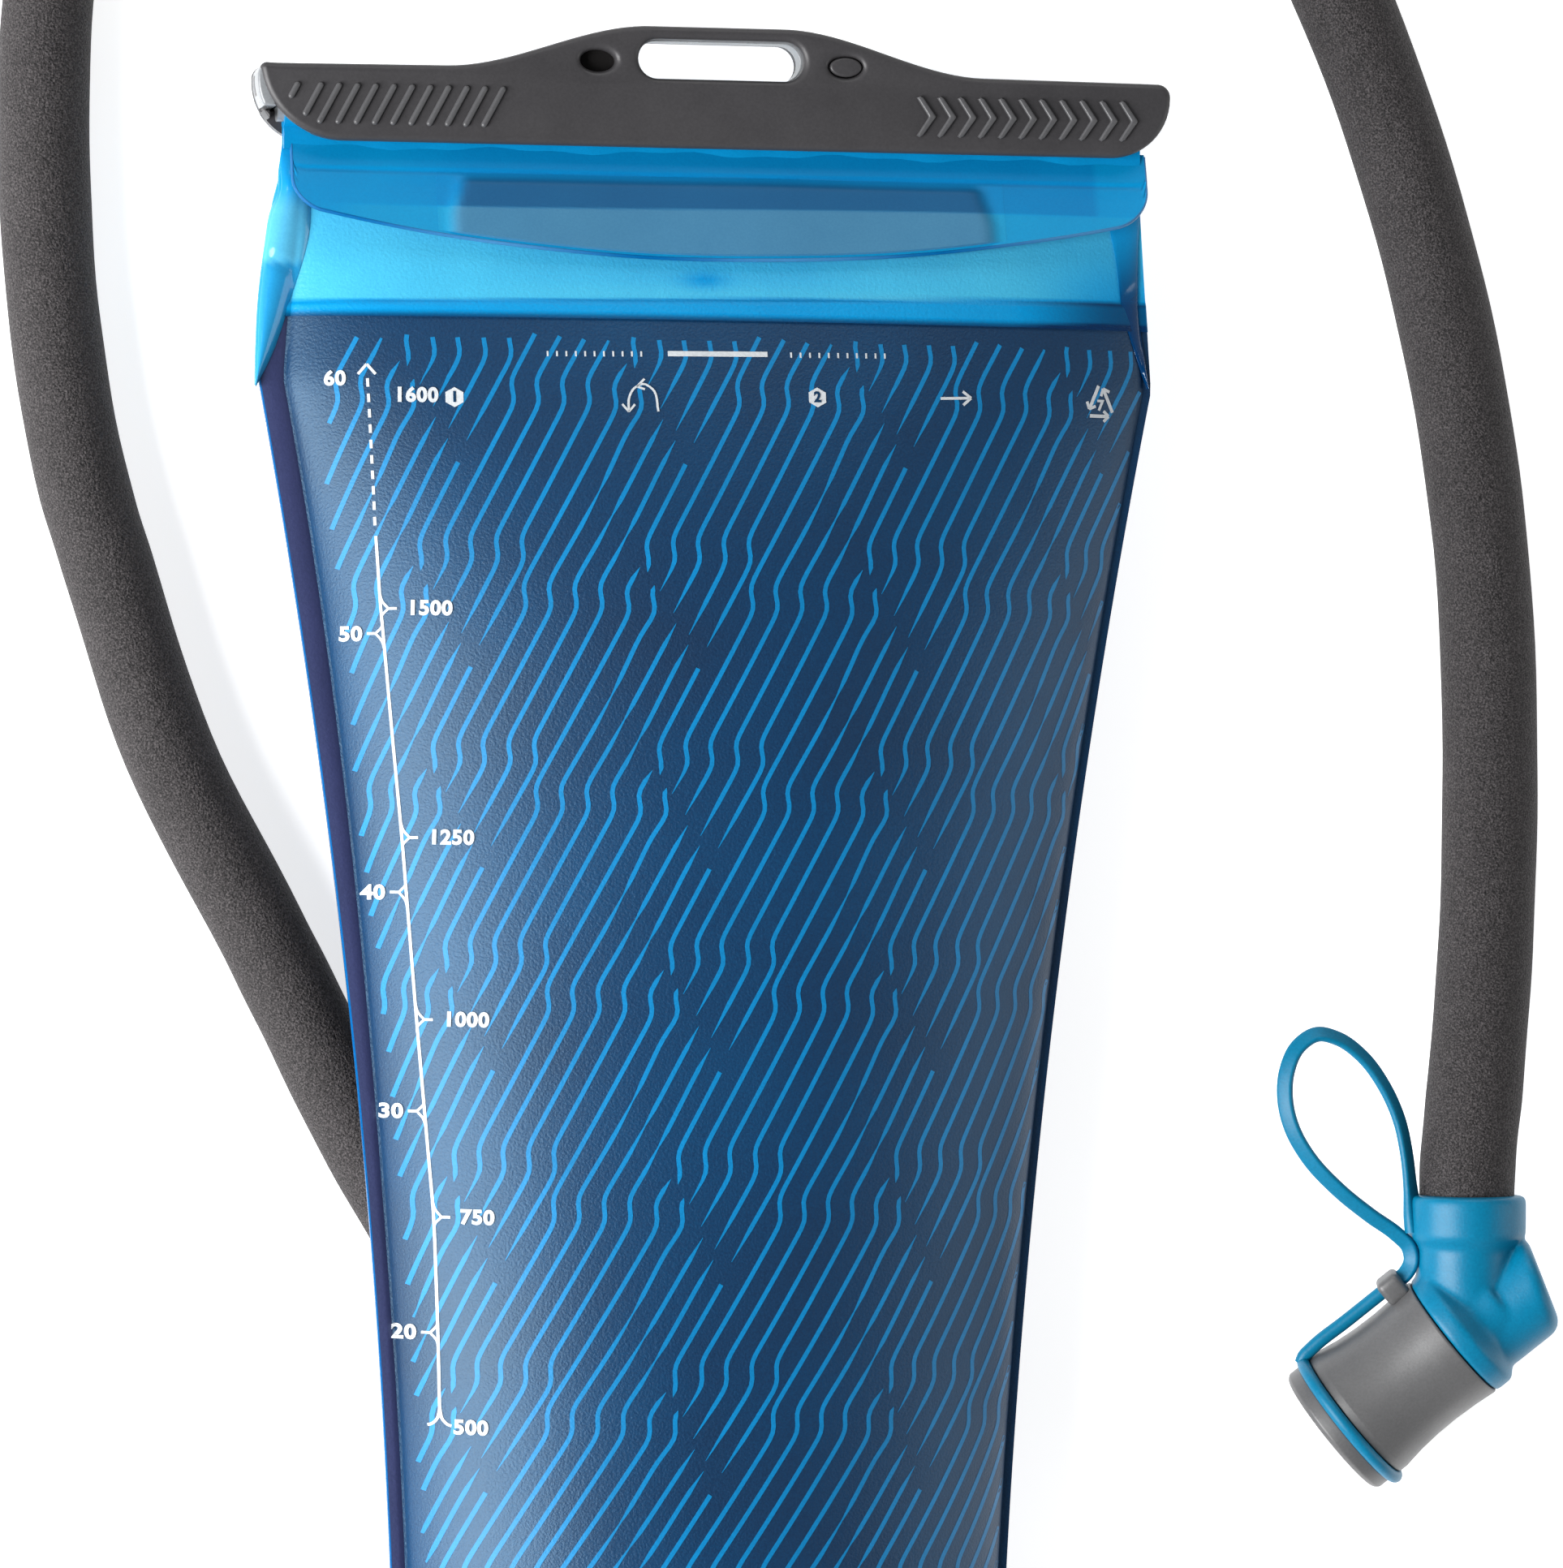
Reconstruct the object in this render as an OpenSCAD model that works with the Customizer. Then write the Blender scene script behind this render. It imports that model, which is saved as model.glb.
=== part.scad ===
// Hydration bladder: a soft reservoir closed by a slide bar, with a quick-connect port on its back,
// an insulated drink tube and a bite valve. It lies on its back: +Z is the front, +Y is the mouth end.

/* [Bag] */
// Half width of the bag at its bottom edge
bag_half_bottom = 58; // [50:1:62]
// Half width of the bag at its shoulders
bag_half_top = 86.5; // [80:0.5:87]
// Height of the welded seam above the surface that the bag lies on
seam_z = 25; // [24:0.5:30]
// Bulge of the front panel above the seam
front_bulge = 24; // [15:1:30]
// Bulge of the back panel below the seam, before it is flattened by the surface
back_bulge = 29; // [20:1:34]
// Thickness of one film
film_t = 0.6; // [0.4:0.1:0.8]
// Width of the welded edge
flange_w = 5; // [3:0.5:8]
// Radius of the bag's bottom corners
corner_r = 25; // [15:1:30]

/* [Slide bar] */
// Half length of the slide bar
slider_half = 88.5; // [87.5:0.5:95]
// Thickness of the slide bar
slider_t = 12.4; // [12:0.2:13]
// Length of the handle slot
handle_len = 32; // [26:1:38]
// Height of the handle slot
handle_h = 7.5; // [6:0.5:8]
// Number of slanted ribs on the left grip
left_ribs = 12; // [6:1:12]
// Number of chevrons on the right grip
right_ribs = 11; // [6:1:11]

/* [Tube and port] */
// Radius of the insulation sleeve
sleeve_r = 8.75; // [8:0.25:8.75]
// Outer radius of the drink tube
tube_r = 4.75; // [4.5:0.05:4.75]
// Inner radius of the drink tube
tube_bore_r = 3.2; // [2.8:0.1:3.4]
// Radius of the connector's spigot
spigot_r = 5; // [4.8:0.05:5]
// Radial clearance of turning and sliding fits
fit_gap = 0.05; // [0.02:0.01:0.09]

/* [Bite valve] */
// Radius of the dust cover at its mouth
cover_r = 13.5; // [13:0.1:13.6]
// Length of the dust cover's side wall
cover_len = 27; // [25:0.5:28]
// Radius of the collar round the sleeve's end
collar_r = 11.5; // [11:0.1:12]

/* [Hidden] */
$fn = 48;

charcoal = [0.27, 0.26, 0.27];
film_blue = [0.05, 0.55, 0.82];
print_blue = [0.12, 0.25, 0.42];
valve_blue = [0.14, 0.50, 0.72];
cover_grey = [0.42, 0.42, 0.43];
core_white = [0.92, 0.94, 0.95];

// Lengthwise places, measured along Y from the middle of the whole object
bag_bottom_y = -183;
shoulder_y = 115.5;
panel_top_y = 127;
collar_top_y = 158.5;
slider_bottom_y = 160;
slider_end_y = 174.6;
slider_top_y = 183;
mouth_half = 83.5;

// The mouth folded over its rail, seen along X
gap_t = 1;
leg_t = 2 * film_t;
fold_y = 166;
fold_z = seam_z + film_t + gap_t / 2;
rail_r = 2.4;
bulb_r = rail_r + leg_t;
flap_tilt = 20.8;
flap_bottom_y = 138.5;

// Slide bar
pocket_gap = 0.3;
pocket_r = bulb_r + pocket_gap;
channel_wall = 1;
channel_half_z = pocket_r + channel_wall;
slider_low_z = fold_z - slider_t / 2;
slider_high_z = fold_z + slider_t / 2;
core_half_t = 2.5;
core_low_z = fold_z - core_half_t;
core_high_z = fold_z + core_half_t;
handle_x = 0.8;
handle_y = 176.8;
rib_y = 166.9;
rib_h = 0.5;

// Quick-connect port: its own frame has +X along the tube's way out
port_pos = [0, -130, 8.75];
port_turn = 126.87;
port_dir = [cos(port_turn), sin(port_turn), 0];
port_plateau_z = 20;
port_shell_r = 8.6;
socket_start = 8;
socket_end = 23;
chamber_r = 5;
seat_r = 3.2;
water_r = 3.5;

// Bite valve: the barrel's own frame has +Z along the barrel, away from the elbow
elbow_pos = [151.5, -65, 23];
barrel_turn = [0, 105, 221];
journal_r = 5.5;
barrel_r = 8.2;
barrel_shift = 2.6;
cover_bore_r = 11.6;
strap_y = -15.6;
flange_s = 3.2;

// Route of the drink tube: straight out of the port, out past the bag's left edge, over the top in an
// arch, down the right side, and up a little to the elbow, whose barrel props it
tube_route = [
    [-15.7, -109, 8.75], [-24, -97.5, 8.75], [-37, -75, 8.75], [-51.7, -48, 8.75], [-63.4, -28, 8.75],
    [-74.5, -6, 8.75], [-83.2, 11, 8.75], [-101, 45, 8.75], [-112.5, 79, 8.75], [-117.5, 95, 8.75],
    [-123.2, 125.5, 8.75], [-125.5, 156, 8.75], [-125, 187, 8.75], [-120, 219, 8.75], [-107, 251, 8.75],
    [-85, 278, 8.75], [-55, 297, 8.75], [-19, 305, 8.75], [18, 302, 8.75], [52, 288, 8.75],
    [83, 263, 8.75], [108, 231, 8.75], [128, 195, 8.75], [142, 158.5, 8.75], [151.5, 123, 8.75],
    [157.2, 87.5, 8.75], [159.3, 47, 9.5], [157.5, 12, 14.5], [153.6, -18, 21], [151.6, -34, 23],
    [151.5, -47.5, 23]
];

// Route of the tether's free loop, from the elbow's collar round to the dust cover's lug
loop_route = [
    [139.3, -44, 23], [139.2, -39, 23], [138.8, -32, 23], [137.6, -25, 23], [134.6, -18.5, 23],
    [130.2, -12.5, 23], [125.5, -9.2, 23], [121.2, -8.3, 23], [117.4, -10.7, 23], [115.2, -15.5, 23],
    [114.9, -21, 23], [116.3, -26.5, 23], [119.5, -32, 23], [125.5, -38.3, 23], [132.3, -43.6, 23],
    [137.4, -47.1, 23], [139.9, -49.6, 23], [140.5, -52.3, 22.8], [139.4, -54.8, 22.4]
];
tether_r = 1.4;

// A smooth step from 0 to 1 as t goes from 0 to 1
function smooth(t) = let (c = min(1, max(0, t))) c * c * (3 - 2 * c);

// Points on an arc in the plane
function arc(centre, r, from, to, steps) =
    [for (i = [0 : steps]) let (a = from + (to - from) * i / steps) centre + r * [cos(a), sin(a)]];

// ---- Film surfaces ----

// Half width of the bag at a place along it
function corner_cut(y) =
    let (d = corner_r - (y - bag_bottom_y))
    d > 0 ? corner_r - sqrt(corner_r * corner_r - d * d) : 0;
function body_half(y) =
    let (t = (y - bag_bottom_y) / (shoulder_y - bag_bottom_y))
    bag_half_bottom + (bag_half_top - bag_half_bottom) * t * t;
function neck_half(y) =
    bag_half_top + (mouth_half - bag_half_top) * (y - shoulder_y) / (collar_top_y - shoulder_y);
function edge_half(y) = y > shoulder_y ? neck_half(y) : body_half(y) - corner_cut(y);

// Fullness of the bag from 0 at both ends to 1 in the middle
bottom_run = 72;
neck_run = 100;
function fullness(y) =
    let (t = min(1, max(0, (y - bag_bottom_y - flange_w) / bottom_run)))
    let (s = min(1, max(0, (collar_top_y - y) / neck_run)))
    pow(1 - pow(1 - t, 2.4), 0.62) * sin(90 * s);
function crown(x, y) =
    let (u = min(1, abs(x) / (edge_half(y) - flange_w)))
    pow(1 - pow(u, 2.3), 0.72);

// The back is pressed in where the tube and its port lie under it
tube_relief_from = [-75, -6];
tube_relief_r = 15;
port_relief_r = 26;
relief_run = 20;
function segment_distance(p, a, b) =
    let (ab = b - a, t = min(1, max(0, (p - a) * ab / (ab * ab))))
    norm(p - a - t * ab);
function relief(x, y) =
    let (port = [port_pos.x, port_pos.y])
    let (along = segment_distance([x, y], tube_relief_from, port) - tube_relief_r)
    let (round_port = norm([x, y] - port) - port_relief_r)
    seam_z - film_t - port_plateau_z + port_plateau_z * smooth(min(along, round_port) / relief_run);

function front_rise(x, y) = front_bulge * fullness(y) * crown(x, y);
function back_rise(x, y) =
    min(seam_z - film_t, back_bulge * fullness(y) * crown(x, y), relief(x, y));

// Places across a row: the welded edge, then columns that crowd a little towards the sides
film_cols = 26;
function row_xs(y) =
    let (w = edge_half(y), f = w - flange_w)
    [-w, for (i = [0 : film_cols]) let (t = 2 * i / film_cols - 1) f * (0.45 * sin(90 * t) + 0.55 * t), w];
panel_ys = [
    bag_bottom_y, bag_bottom_y + flange_w, for (y = [-172 : 6 : -148]) y, for (y = [-137 : 6 : -101]) y,
    for (y = [-89 : 12 : 115]) y, panel_top_y
];
collar_ys = [for (y = [panel_top_y : 7.875 : collar_top_y]) y];

function film_grid(ys, heights) =
    [for (i = [0 : len(ys) - 1]) let (xs = row_xs(ys[i])) for (j = [0 : len(xs) - 1])
        [xs[j], ys[i], heights[i][j]]];

// A closed sheet between an upper and a lower grid of points
module sheet(upper, lower, rows) {
    n = len(upper);
    cols = n / rows;
    polyhedron(
        points = concat(upper, lower),
        faces = [
            for (i = [0 : rows - 2]) for (j = [0 : cols - 2])
                let (a = i * cols + j, b = a + 1, d = a + cols, c = d + 1)
                each [[a, d, c], [a, c, b], [n + a, n + b, n + c], [n + a, n + c, n + d]],
            for (j = [0 : cols - 2])
                let (a = j, b = j + 1, q = n - cols + j, r = q + 1)
                each [[a, b, n + b], [a, n + b, n + a], [r, q, n + q], [r, n + q, n + r]],
            for (i = [0 : rows - 2])
                let (a = i * cols, d = a + cols, e = a + cols - 1, h = d + cols - 1)
                each [[d, a, n + a], [d, n + a, n + d], [e, h, n + h], [e, n + h, n + e]]
        ]
    );
}

module front_film(ys) {
    low = [for (y = ys) [for (x = row_xs(y)) seam_z + front_rise(x, y)]];
    high = [for (row = low) [for (z = row) z + film_t]];
    sheet(film_grid(ys, high), film_grid(ys, low), len(ys));
}

module back_film(ys) {
    high = [for (y = ys) [for (x = row_xs(y)) seam_z - back_rise(x, y)]];
    low = [for (row = high) [for (z = row) z - film_t]];
    sheet(film_grid(ys, high), film_grid(ys, low), len(ys));
}

module front_panel() {
    color(print_blue) front_film(panel_ys);
}

module back_panel() {
    color(print_blue) difference() {
        back_film(panel_ys);
        translate([port_pos.x, port_pos.y, port_plateau_z - 5]) cylinder(r = hub_r + 0.1, h = 12);
    }
}

module mouth_collar_front() {
    color(film_blue) front_film(collar_ys);
}

module mouth_collar_back() {
    color(film_blue) back_film(collar_ys);
}

// ---- Mouth, folded over its rail ----

// Stands a profile drawn in Y and Z along X, from one side of the mouth to the other
module along_x(from, to) {
    translate([from, 0, 0]) rotate([90, 0, 90]) linear_extrude(to - from) children();
}

module mouth_fold() {
    color(film_blue) along_x(-mouth_half, mouth_half) difference() {
        union() {
            translate([fold_y, fold_z]) circle(r = bulb_r);
            translate([collar_top_y, fold_z - gap_t / 2 - leg_t])
                square([fold_y - collar_top_y, gap_t + 2 * leg_t]);
        }
        translate([fold_y, fold_z]) circle(r = rail_r);
        translate([collar_top_y - 1, fold_z - gap_t / 2]) square([fold_y - collar_top_y, gap_t]);
    }
}

module closure_rail() {
    color(core_white) translate([-mouth_half, fold_y, fold_z]) rotate([0, 90, 0])
        cylinder(r = rail_r, h = 2 * mouth_half);
}

// Lower edge of the flap, as a distance down the flap from its top
function flap_drop(x) = (collar_top_y - flap_bottom_y - 10 * pow(x / 80, 2)) / cos(flap_tilt);
flap_corner = 3;

module on_flap(lift) {
    translate([0, collar_top_y, fold_z + gap_t / 2]) rotate([-flap_tilt, 0, 0]) translate([0, 0, lift])
        children();
}

module mouth_flap() {
    side = mouth_half - flap_corner;
    drop = flap_drop(side);
    outline = concat(
        [[-mouth_half, -0.5], [mouth_half, -0.5]],
        arc([side, flap_corner - drop], flap_corner, 0, -70, 5),
        [for (x = [72 : -8 : -72]) [x, -flap_drop(x)]],
        arc([-side, flap_corner - drop], flap_corner, -110, -180, 5)
    );
    color(film_blue) on_flap(0) linear_extrude(leg_t) polygon(outline);
}

module pull_tab() {
    outline = concat(
        [[-46, -5.5], [50, -5.5]],
        arc([51.5, -12], 2.5, 30, 0, 3),
        [for (x = [54 : -6 : -54]) [x, 1.2 - flap_drop(x)]],
        arc([-50, -12], 2.5, 180, 150, 3)
    );
    color([0.62, 0.72, 0.85]) on_flap(leg_t) linear_extrude(0.8) polygon(outline);
}

// ---- Slide bar ----

function slider_top(x) =
    let (a = abs(x))
    slider_end_y + (slider_top_y - slider_end_y) * (1 - smooth((a - 13) / 39)) - 0.3 * max(0, a - 52) / 33;

// Outline of the bar, drawn in by an inset all round
module slider_outline(inset) {
    low_r = 11.5 - inset;
    high_r = 2.5 - inset;
    low = [slider_half - inset - low_r, slider_bottom_y + inset + low_r];
    high = [slider_half - inset - high_r, slider_top(slider_half) - inset - high_r];
    polygon(concat(
        arc(low, low_r, -90, 0, 8),
        arc(high, high_r, 0, 85, 4),
        [for (x = [80 : -4 : -80]) [x, slider_top(x) - inset]],
        arc([-high.x, high.y], high_r, 95, 180, 4),
        arc([-low.x, low.y], low_r, 180, 270, 8)
    ));
}

module handle_hole() {
    reach = (handle_len - handle_h) / 2;
    translate([handle_x, handle_y, slider_low_z - 1]) {
        for (x = [-reach, reach]) translate([x, 0, 0]) cylinder(r = handle_h / 2, h = slider_t + 2);
        translate([-reach, -handle_h / 2, 0]) cube([2 * reach, handle_h, slider_t + 2]);
    }
}

module oval(width, height, from, to) {
    translate([0, 0, from]) linear_extrude(to - from) scale([width / height, 1]) circle(d = height);
}

// Outline and space of the closing channel between the shells, which runs out of the bar's right end
module channel_outline() {
    translate([1.3 - slider_half, slider_bottom_y + 1.2]) square([2 * slider_half, 10]);
}

module channel_space() {
    translate([0, 0, fold_z - channel_half_z]) linear_extrude(2 * channel_half_z) channel_outline();
}

// Slanted rib whose upper end is at the same height whatever its length
module rib(x, height) {
    top = 4.2;
    low = top - height;
    translate([x, rib_y, slider_high_z - 0.2]) linear_extrude(rib_h + 0.2)
        polygon([for (p = [[-0.5, low], [0.5, low], [0.5, top], [-0.5, top]]) [p.x + p.y * tan(28), p.y]]);
}

module chevron(x) {
    translate([x, rib_y, slider_high_z - 0.2]) linear_extrude(rib_h + 0.2)
        polygon([[-1.7, -3.9], [-0.6, -3.9], [1.7, 0], [-0.6, 3.9], [-1.7, 3.9], [0.6, 0]]);
}

module slider_front_shell() {
    color(charcoal) {
        difference() {
            translate([0, 0, core_high_z]) linear_extrude(slider_high_z - core_high_z) slider_outline(0);
            channel_space();
            handle_hole();
            translate([-23, 176.2, 0]) oval(6.8, 4.2, core_high_z - 1, slider_high_z + 1);
            translate([24.8, 176, 0]) oval(6.5, 4, core_high_z - 1, slider_high_z + 1);
        }
        for (i = [0 : left_ribs - 1]) rib(-81 + 3.55 * i, min(8.4, 3 + 2.2 * i));
        for (i = [0 : right_ribs - 1]) chevron(40.4 + 3.96 * i);
    }
}

module slider_back_shell() {
    color(charcoal) difference() {
        translate([0, 0, slider_low_z]) linear_extrude(core_low_z - slider_low_z) slider_outline(0);
        channel_space();
        handle_hole();
    }
}

module slider_core() {
    color(core_white) difference() {
        union() {
            translate([0, 0, core_low_z]) linear_extrude(core_high_z - core_low_z) slider_outline(0.3);
            translate([0, 0, fold_z - channel_half_z]) linear_extrude(2 * channel_half_z) intersection() {
                slider_outline(0.3);
                channel_outline();
            }
        }
        handle_hole();
        along_x(3.4 - slider_half, slider_half + 1) {
            translate([fold_y, fold_z]) circle(r = pocket_r);
            translate([slider_bottom_y - 1, fold_z - gap_t / 2 - leg_t - pocket_gap])
                square([fold_y - slider_bottom_y + 1, gap_t + 2 * leg_t + 2 * pocket_gap]);
        }
        translate([24.8, 176, 0]) oval(6.5, 4, core_high_z - 2, core_high_z + 1);
    }
}

module slider_peg() {
    color(charcoal) translate([24.8, 176, 0]) oval(6.2, 3.7, core_high_z - 1.8, slider_high_z);
}

// ---- Quick-connect port ----

hub_r = 8;
port_flange_r = 22;

module in_port() {
    translate(port_pos) rotate([0, 0, port_turn]) children();
}

// A round bar, bore or cone along the port's own X
module port_bar(from, to, r, r2 = undef) {
    translate([from, 0, 0]) rotate([0, 90, 0])
        cylinder(r1 = r, r2 = is_undef(r2) ? r : r2, h = to - from);
}

module port_flange() {
    color(charcoal) difference() {
        union() {
            translate([0, -130, port_plateau_z - 1.8]) cylinder(r = port_flange_r, h = 1.8, $fn = 96);
            translate([0, -130, port_plateau_z]) cylinder(r = hub_r, h = 3);
        }
        translate([0, -130, port_plateau_z - 3]) cylinder(r = water_r, h = 10);
    }
}

module port_body() {
    top = port_plateau_z - 1.8 - port_pos.z;
    color(charcoal) in_port() difference() {
        union() {
            port_bar(-7, socket_end, port_shell_r);
            cylinder(r = 9, h = top);
            translate([13.5, 0, -4.5]) cube([6, 11, 9]);
        }
        port_bar(-5.5, 6.6, chamber_r);
        port_bar(5, socket_start + 1, seat_r);
        port_bar(socket_start, socket_end + 1, spigot_r + fit_gap);
        cylinder(r = water_r, h = top + 1);
        // Slot for the latch plate and its button
        translate([15.2, -7.6, -6.4]) cube([2.2, 14.6, 12.8]);
        translate([15.2, 0, -3.4]) cube([2.2, 12, 6.8]);
    }
}

module shutoff_poppet() {
    color(core_white) in_port() {
        port_bar(-0.6, 1.3, 4.4);
        port_bar(1.3, 8.2, 1.2);
        // Short guide inside the spring
        port_bar(-2.6, -0.6, 2);
    }
}

module poppet_seal() {
    color([0.1, 0.1, 0.1]) in_port() translate([1.9, 0, 0]) rotate([0, 90, 0])
        rotate_extrude() translate([3.8, 0]) circle(r = 0.55, $fn = 24);
}

// A tube or bar swept along a route. side is a direction that the route never runs along
function tangent(path, i) =
    let (a = path[max(0, i - 1)], b = path[min(len(path) - 1, i + 1)])
    (b - a) / norm(b - a);
function ring(path, i, r, sides, side) =
    let (t = tangent(path, i), n = cross(t, side), u = n / norm(n), v = cross(u, t))
    [for (k = [0 : sides - 1]) path[i] + r * (cos(360 * k / sides) * u + sin(360 * k / sides) * v)];
function sweep_points(path, r, sides, side) =
    [for (i = [0 : len(path) - 1]) each ring(path, i, r, sides, side)];
function wall_faces(rings, sides, base, flip) =
    [for (i = [0 : rings - 2]) for (k = [0 : sides - 1])
        let (a = base + i * sides + k, b = base + i * sides + (k + 1) % sides, d = a + sides, c = b + sides)
        each (flip ? [[a, c, b], [a, d, c]] : [[a, b, c], [a, c, d]])];

module swept_bar(path, r, sides, side) {
    rings = len(path);
    last = (rings - 1) * sides;
    polyhedron(
        points = sweep_points(path, r, sides, side),
        faces = concat(
            wall_faces(rings, sides, 0, false),
            [[for (k = [sides - 1 : -1 : 0]) k]],
            [[for (k = [0 : sides - 1]) last + k]]
        )
    );
}

module swept_tube(path, r, bore, sides, side) {
    rings = len(path);
    n = rings * sides;
    last = n - sides;
    polyhedron(
        points = concat(sweep_points(path, r, sides, side), sweep_points(path, bore, sides, side)),
        faces = concat(
            wall_faces(rings, sides, 0, false),
            wall_faces(rings, sides, n, true),
            [for (k = [0 : sides - 1]) let (m = (k + 1) % sides) each [[k, n + m, m], [k, n + k, n + m]]],
            [for (k = [0 : sides - 1]) let (a = last + k, b = last + (k + 1) % sides)
                each [[a, b, n + b], [a, n + b, n + a]]]
        )
    );
}

module poppet_spring() {
    turns = 3.5;
    steps = 10;
    coil_r = 3.2;
    path = [for (i = [0 : turns * steps]) let (a = 360 * i / steps)
        [-1.1 - 3.8 * i / (turns * steps), coil_r * cos(a), coil_r * sin(a)]];
    color("silver") in_port() swept_bar(path, 0.4, 6, [1, 0, 0]);
}

module release_button() {
    color(cover_grey) in_port() {
        difference() {
            union() {
                translate([15.4, -6.1, -6.1]) cube([1.8, 12.8, 12.2]);
                translate([15.4, 3.5, -3.1]) cube([1.8, 9.5, 6.2]);
            }
            port_bar(15, 18, spigot_r + 0.3);
        }
        translate([13.2, 12.5, -4.2]) cube([6.6, 1.6, 8.4]);
    }
}

// ---- Tube connector, drink tube and sleeve ----

module tube_connector() {
    color(charcoal) in_port() difference() {
        union() {
            port_bar(socket_start + 0.3, 23.3, spigot_r);
            port_bar(23.3, 26, 8.6);
            port_bar(26, 43, 2.9);
            for (x = [29, 34, 39]) port_bar(x, x + 3, 3.5, 2.9);
        }
        difference() {
            port_bar(8, 44, 2.2);
            translate([8, -3, -0.6]) cube([1.2, 6, 1.2]);
        }
        // Groove of the sealing ring
        port_ring_space(12, 3.7, 1.4);
        // Groove that the latch plate drops into
        port_ring_space(15.2, 3.95, 2.2);
    }
}

module port_ring_space(from, r, width) {
    difference() {
        port_bar(from, from + width, spigot_r + 1);
        port_bar(from - 1, from + width + 1, r);
    }
}

module connector_seal() {
    color([0.1, 0.1, 0.1]) in_port() translate([12.7, 0, 0]) rotate([0, 90, 0])
        rotate_extrude() translate([4.35, 0]) circle(r = 0.65, $fn = 24);
}

module drink_tube() {
    color([0.35, 0.5, 0.6]) swept_tube(tube_route, tube_r, tube_bore_r, 12, [0, 0, 1]);
}

module insulation_sleeve() {
    color([0.28, 0.27, 0.28]) swept_tube(tube_route, sleeve_r, tube_r + 0.25, 12, [0, 0, 1]);
}

// A round bar, bore or cone on the axis of the tube's end, measured from the elbow towards the tube
module end_bar(from, to, r, r2 = undef) {
    translate(elbow_pos + [0, from, 0]) rotate([-90, 0, 0])
        cylinder(r1 = r, r2 = is_undef(r2) ? r : r2, h = to - from);
}

module swivel_barb() {
    color(core_white) difference() {
        union() {
            end_bar(7.5, 14.5, journal_r);
            end_bar(14.5, 34, 2.9);
            for (y = [20, 25, 30]) end_bar(y, y + 3, 2.9, 3.5);
        }
        end_bar(7, 35, 2.2);
        difference() {
            end_bar(10.2, 11.6, journal_r + 1);
            end_bar(10, 12, 4.3);
        }
    }
}

module swivel_seal() {
    color([0.1, 0.1, 0.1]) translate(elbow_pos + [0, 10.9, 0]) rotate([90, 0, 0])
        rotate_extrude() translate([4.9, 0]) circle(r = 0.6, $fn = 24);
}

// ---- Bite valve ----

module in_barrel() {
    translate(elbow_pos) rotate(barrel_turn) children();
}

module valve_elbow() {
    color(valve_blue) difference() {
        union() {
            end_bar(16.2, 25.5, collar_r);
            end_bar(0.5, 16.2, 9.75);
            in_barrel() {
                translate([0, barrel_shift, -24]) cylinder(r = barrel_r, h = 23);
                translate([0, 0, -7]) cylinder(r = 9.9, h = 8);
                translate([0, 0, -0.4]) cylinder(r = cover_r, h = flange_s + 0.4);
                translate([0, 0, flange_s]) cylinder(r = cover_bore_r - fit_gap, h = 4);
            }
        }
        // The barrel's back end is cut aslant
        in_barrel() translate([0, barrel_shift, -17.3]) rotate([18, 0, 0])
            translate([-15, -15, -12]) cube([30, 30, 12]);
        // Cup for the sleeve's end, socket of the swivel and the water passages
        end_bar(17.2, 26, sleeve_r + 0.35);
        end_bar(7, 18, journal_r + fit_gap);
        end_bar(-2, 7.5, 3);
        in_barrel() translate([0, 0, -1]) cylinder(r = 3.2, h = 3);
        in_barrel() translate([0, 0, 1]) cylinder(r = 6 + fit_gap, h = 10);
    }
}

module shutoff_core() {
    color(core_white) in_barrel() difference() {
        union() {
            translate([0, 0, 1.3]) cylinder(r = 6, h = 9);
            translate([0, 0, 10.3]) cylinder(r = 4, h = 5);
        }
        // The passage is off centre at the inner end, so turning the core closes it
        translate([1, 0, 1]) cylinder(r = 2, h = 10);
        translate([0, 0, 8]) cylinder(r = 2.6, h = 8);
    }
}

module mouthpiece() {
    color([0.75, 0.85, 0.9]) in_barrel() difference() {
        union() {
            translate([0, 0, 10.4]) cylinder(r1 = 8.6, r2 = 7, h = 7);
            translate([0, 0, 17.4]) cylinder(r1 = 7, r2 = 7.6, h = 6);
            translate([0, 0, 23.4]) scale([1, 1, 0.4]) sphere(r = 7.6);
        }
        translate([0, 0, 10]) cylinder(r = 4.05, h = 5.5);
        translate([0, 0, 15]) cylinder(r = 5, h = 8.4);
        translate([-4, -0.15, 20]) cube([8, 0.3, 10]);
    }
}

module dust_cover() {
    mouth = flange_s + 0.1;
    base = mouth + cover_len;
    color(cover_grey) in_barrel() {
        rotate_extrude($fn = 96) polygon([
            [cover_bore_r, mouth], [cover_r, mouth], [13.1, mouth + 5], [12.9, mouth + 10], [13, mouth + 15],
            [13.4, mouth + 19], [14.1, mouth + 23], [14.1, mouth + 24.6], [12.9, mouth + 24.6],
            [12.9, base], [14, base], [14, base + 2.6], [13.2, base + 3.4], [0, base + 3.4],
            [0, base + 1.6], [cover_bore_r, base + 1.6]
        ]);
        // Lug that the strap passes through
        difference() {
            translate([-3.2, -17.8, mouth + 0.4]) cube([6.4, 5.6, 4.8]);
            translate([0, strap_y, mouth]) cylinder(r = tether_r + 0.1, h = 7);
        }
    }
}

module tether_strap() {
    ring_s = flange_s + 0.1 + cover_len - 1.2;
    color(valve_blue) in_barrel() {
        difference() {
            translate([0, 0, ring_s - 1.15]) cylinder(r = 15.6, h = 2.3, $fn = 96);
            translate([0, 0, ring_s - 3]) cylinder(r = 13, h = 6, $fn = 96);
        }
        translate([0, strap_y, flange_s + 0.6]) cylinder(r = tether_r, h = ring_s - flange_s);
    }
}

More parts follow.
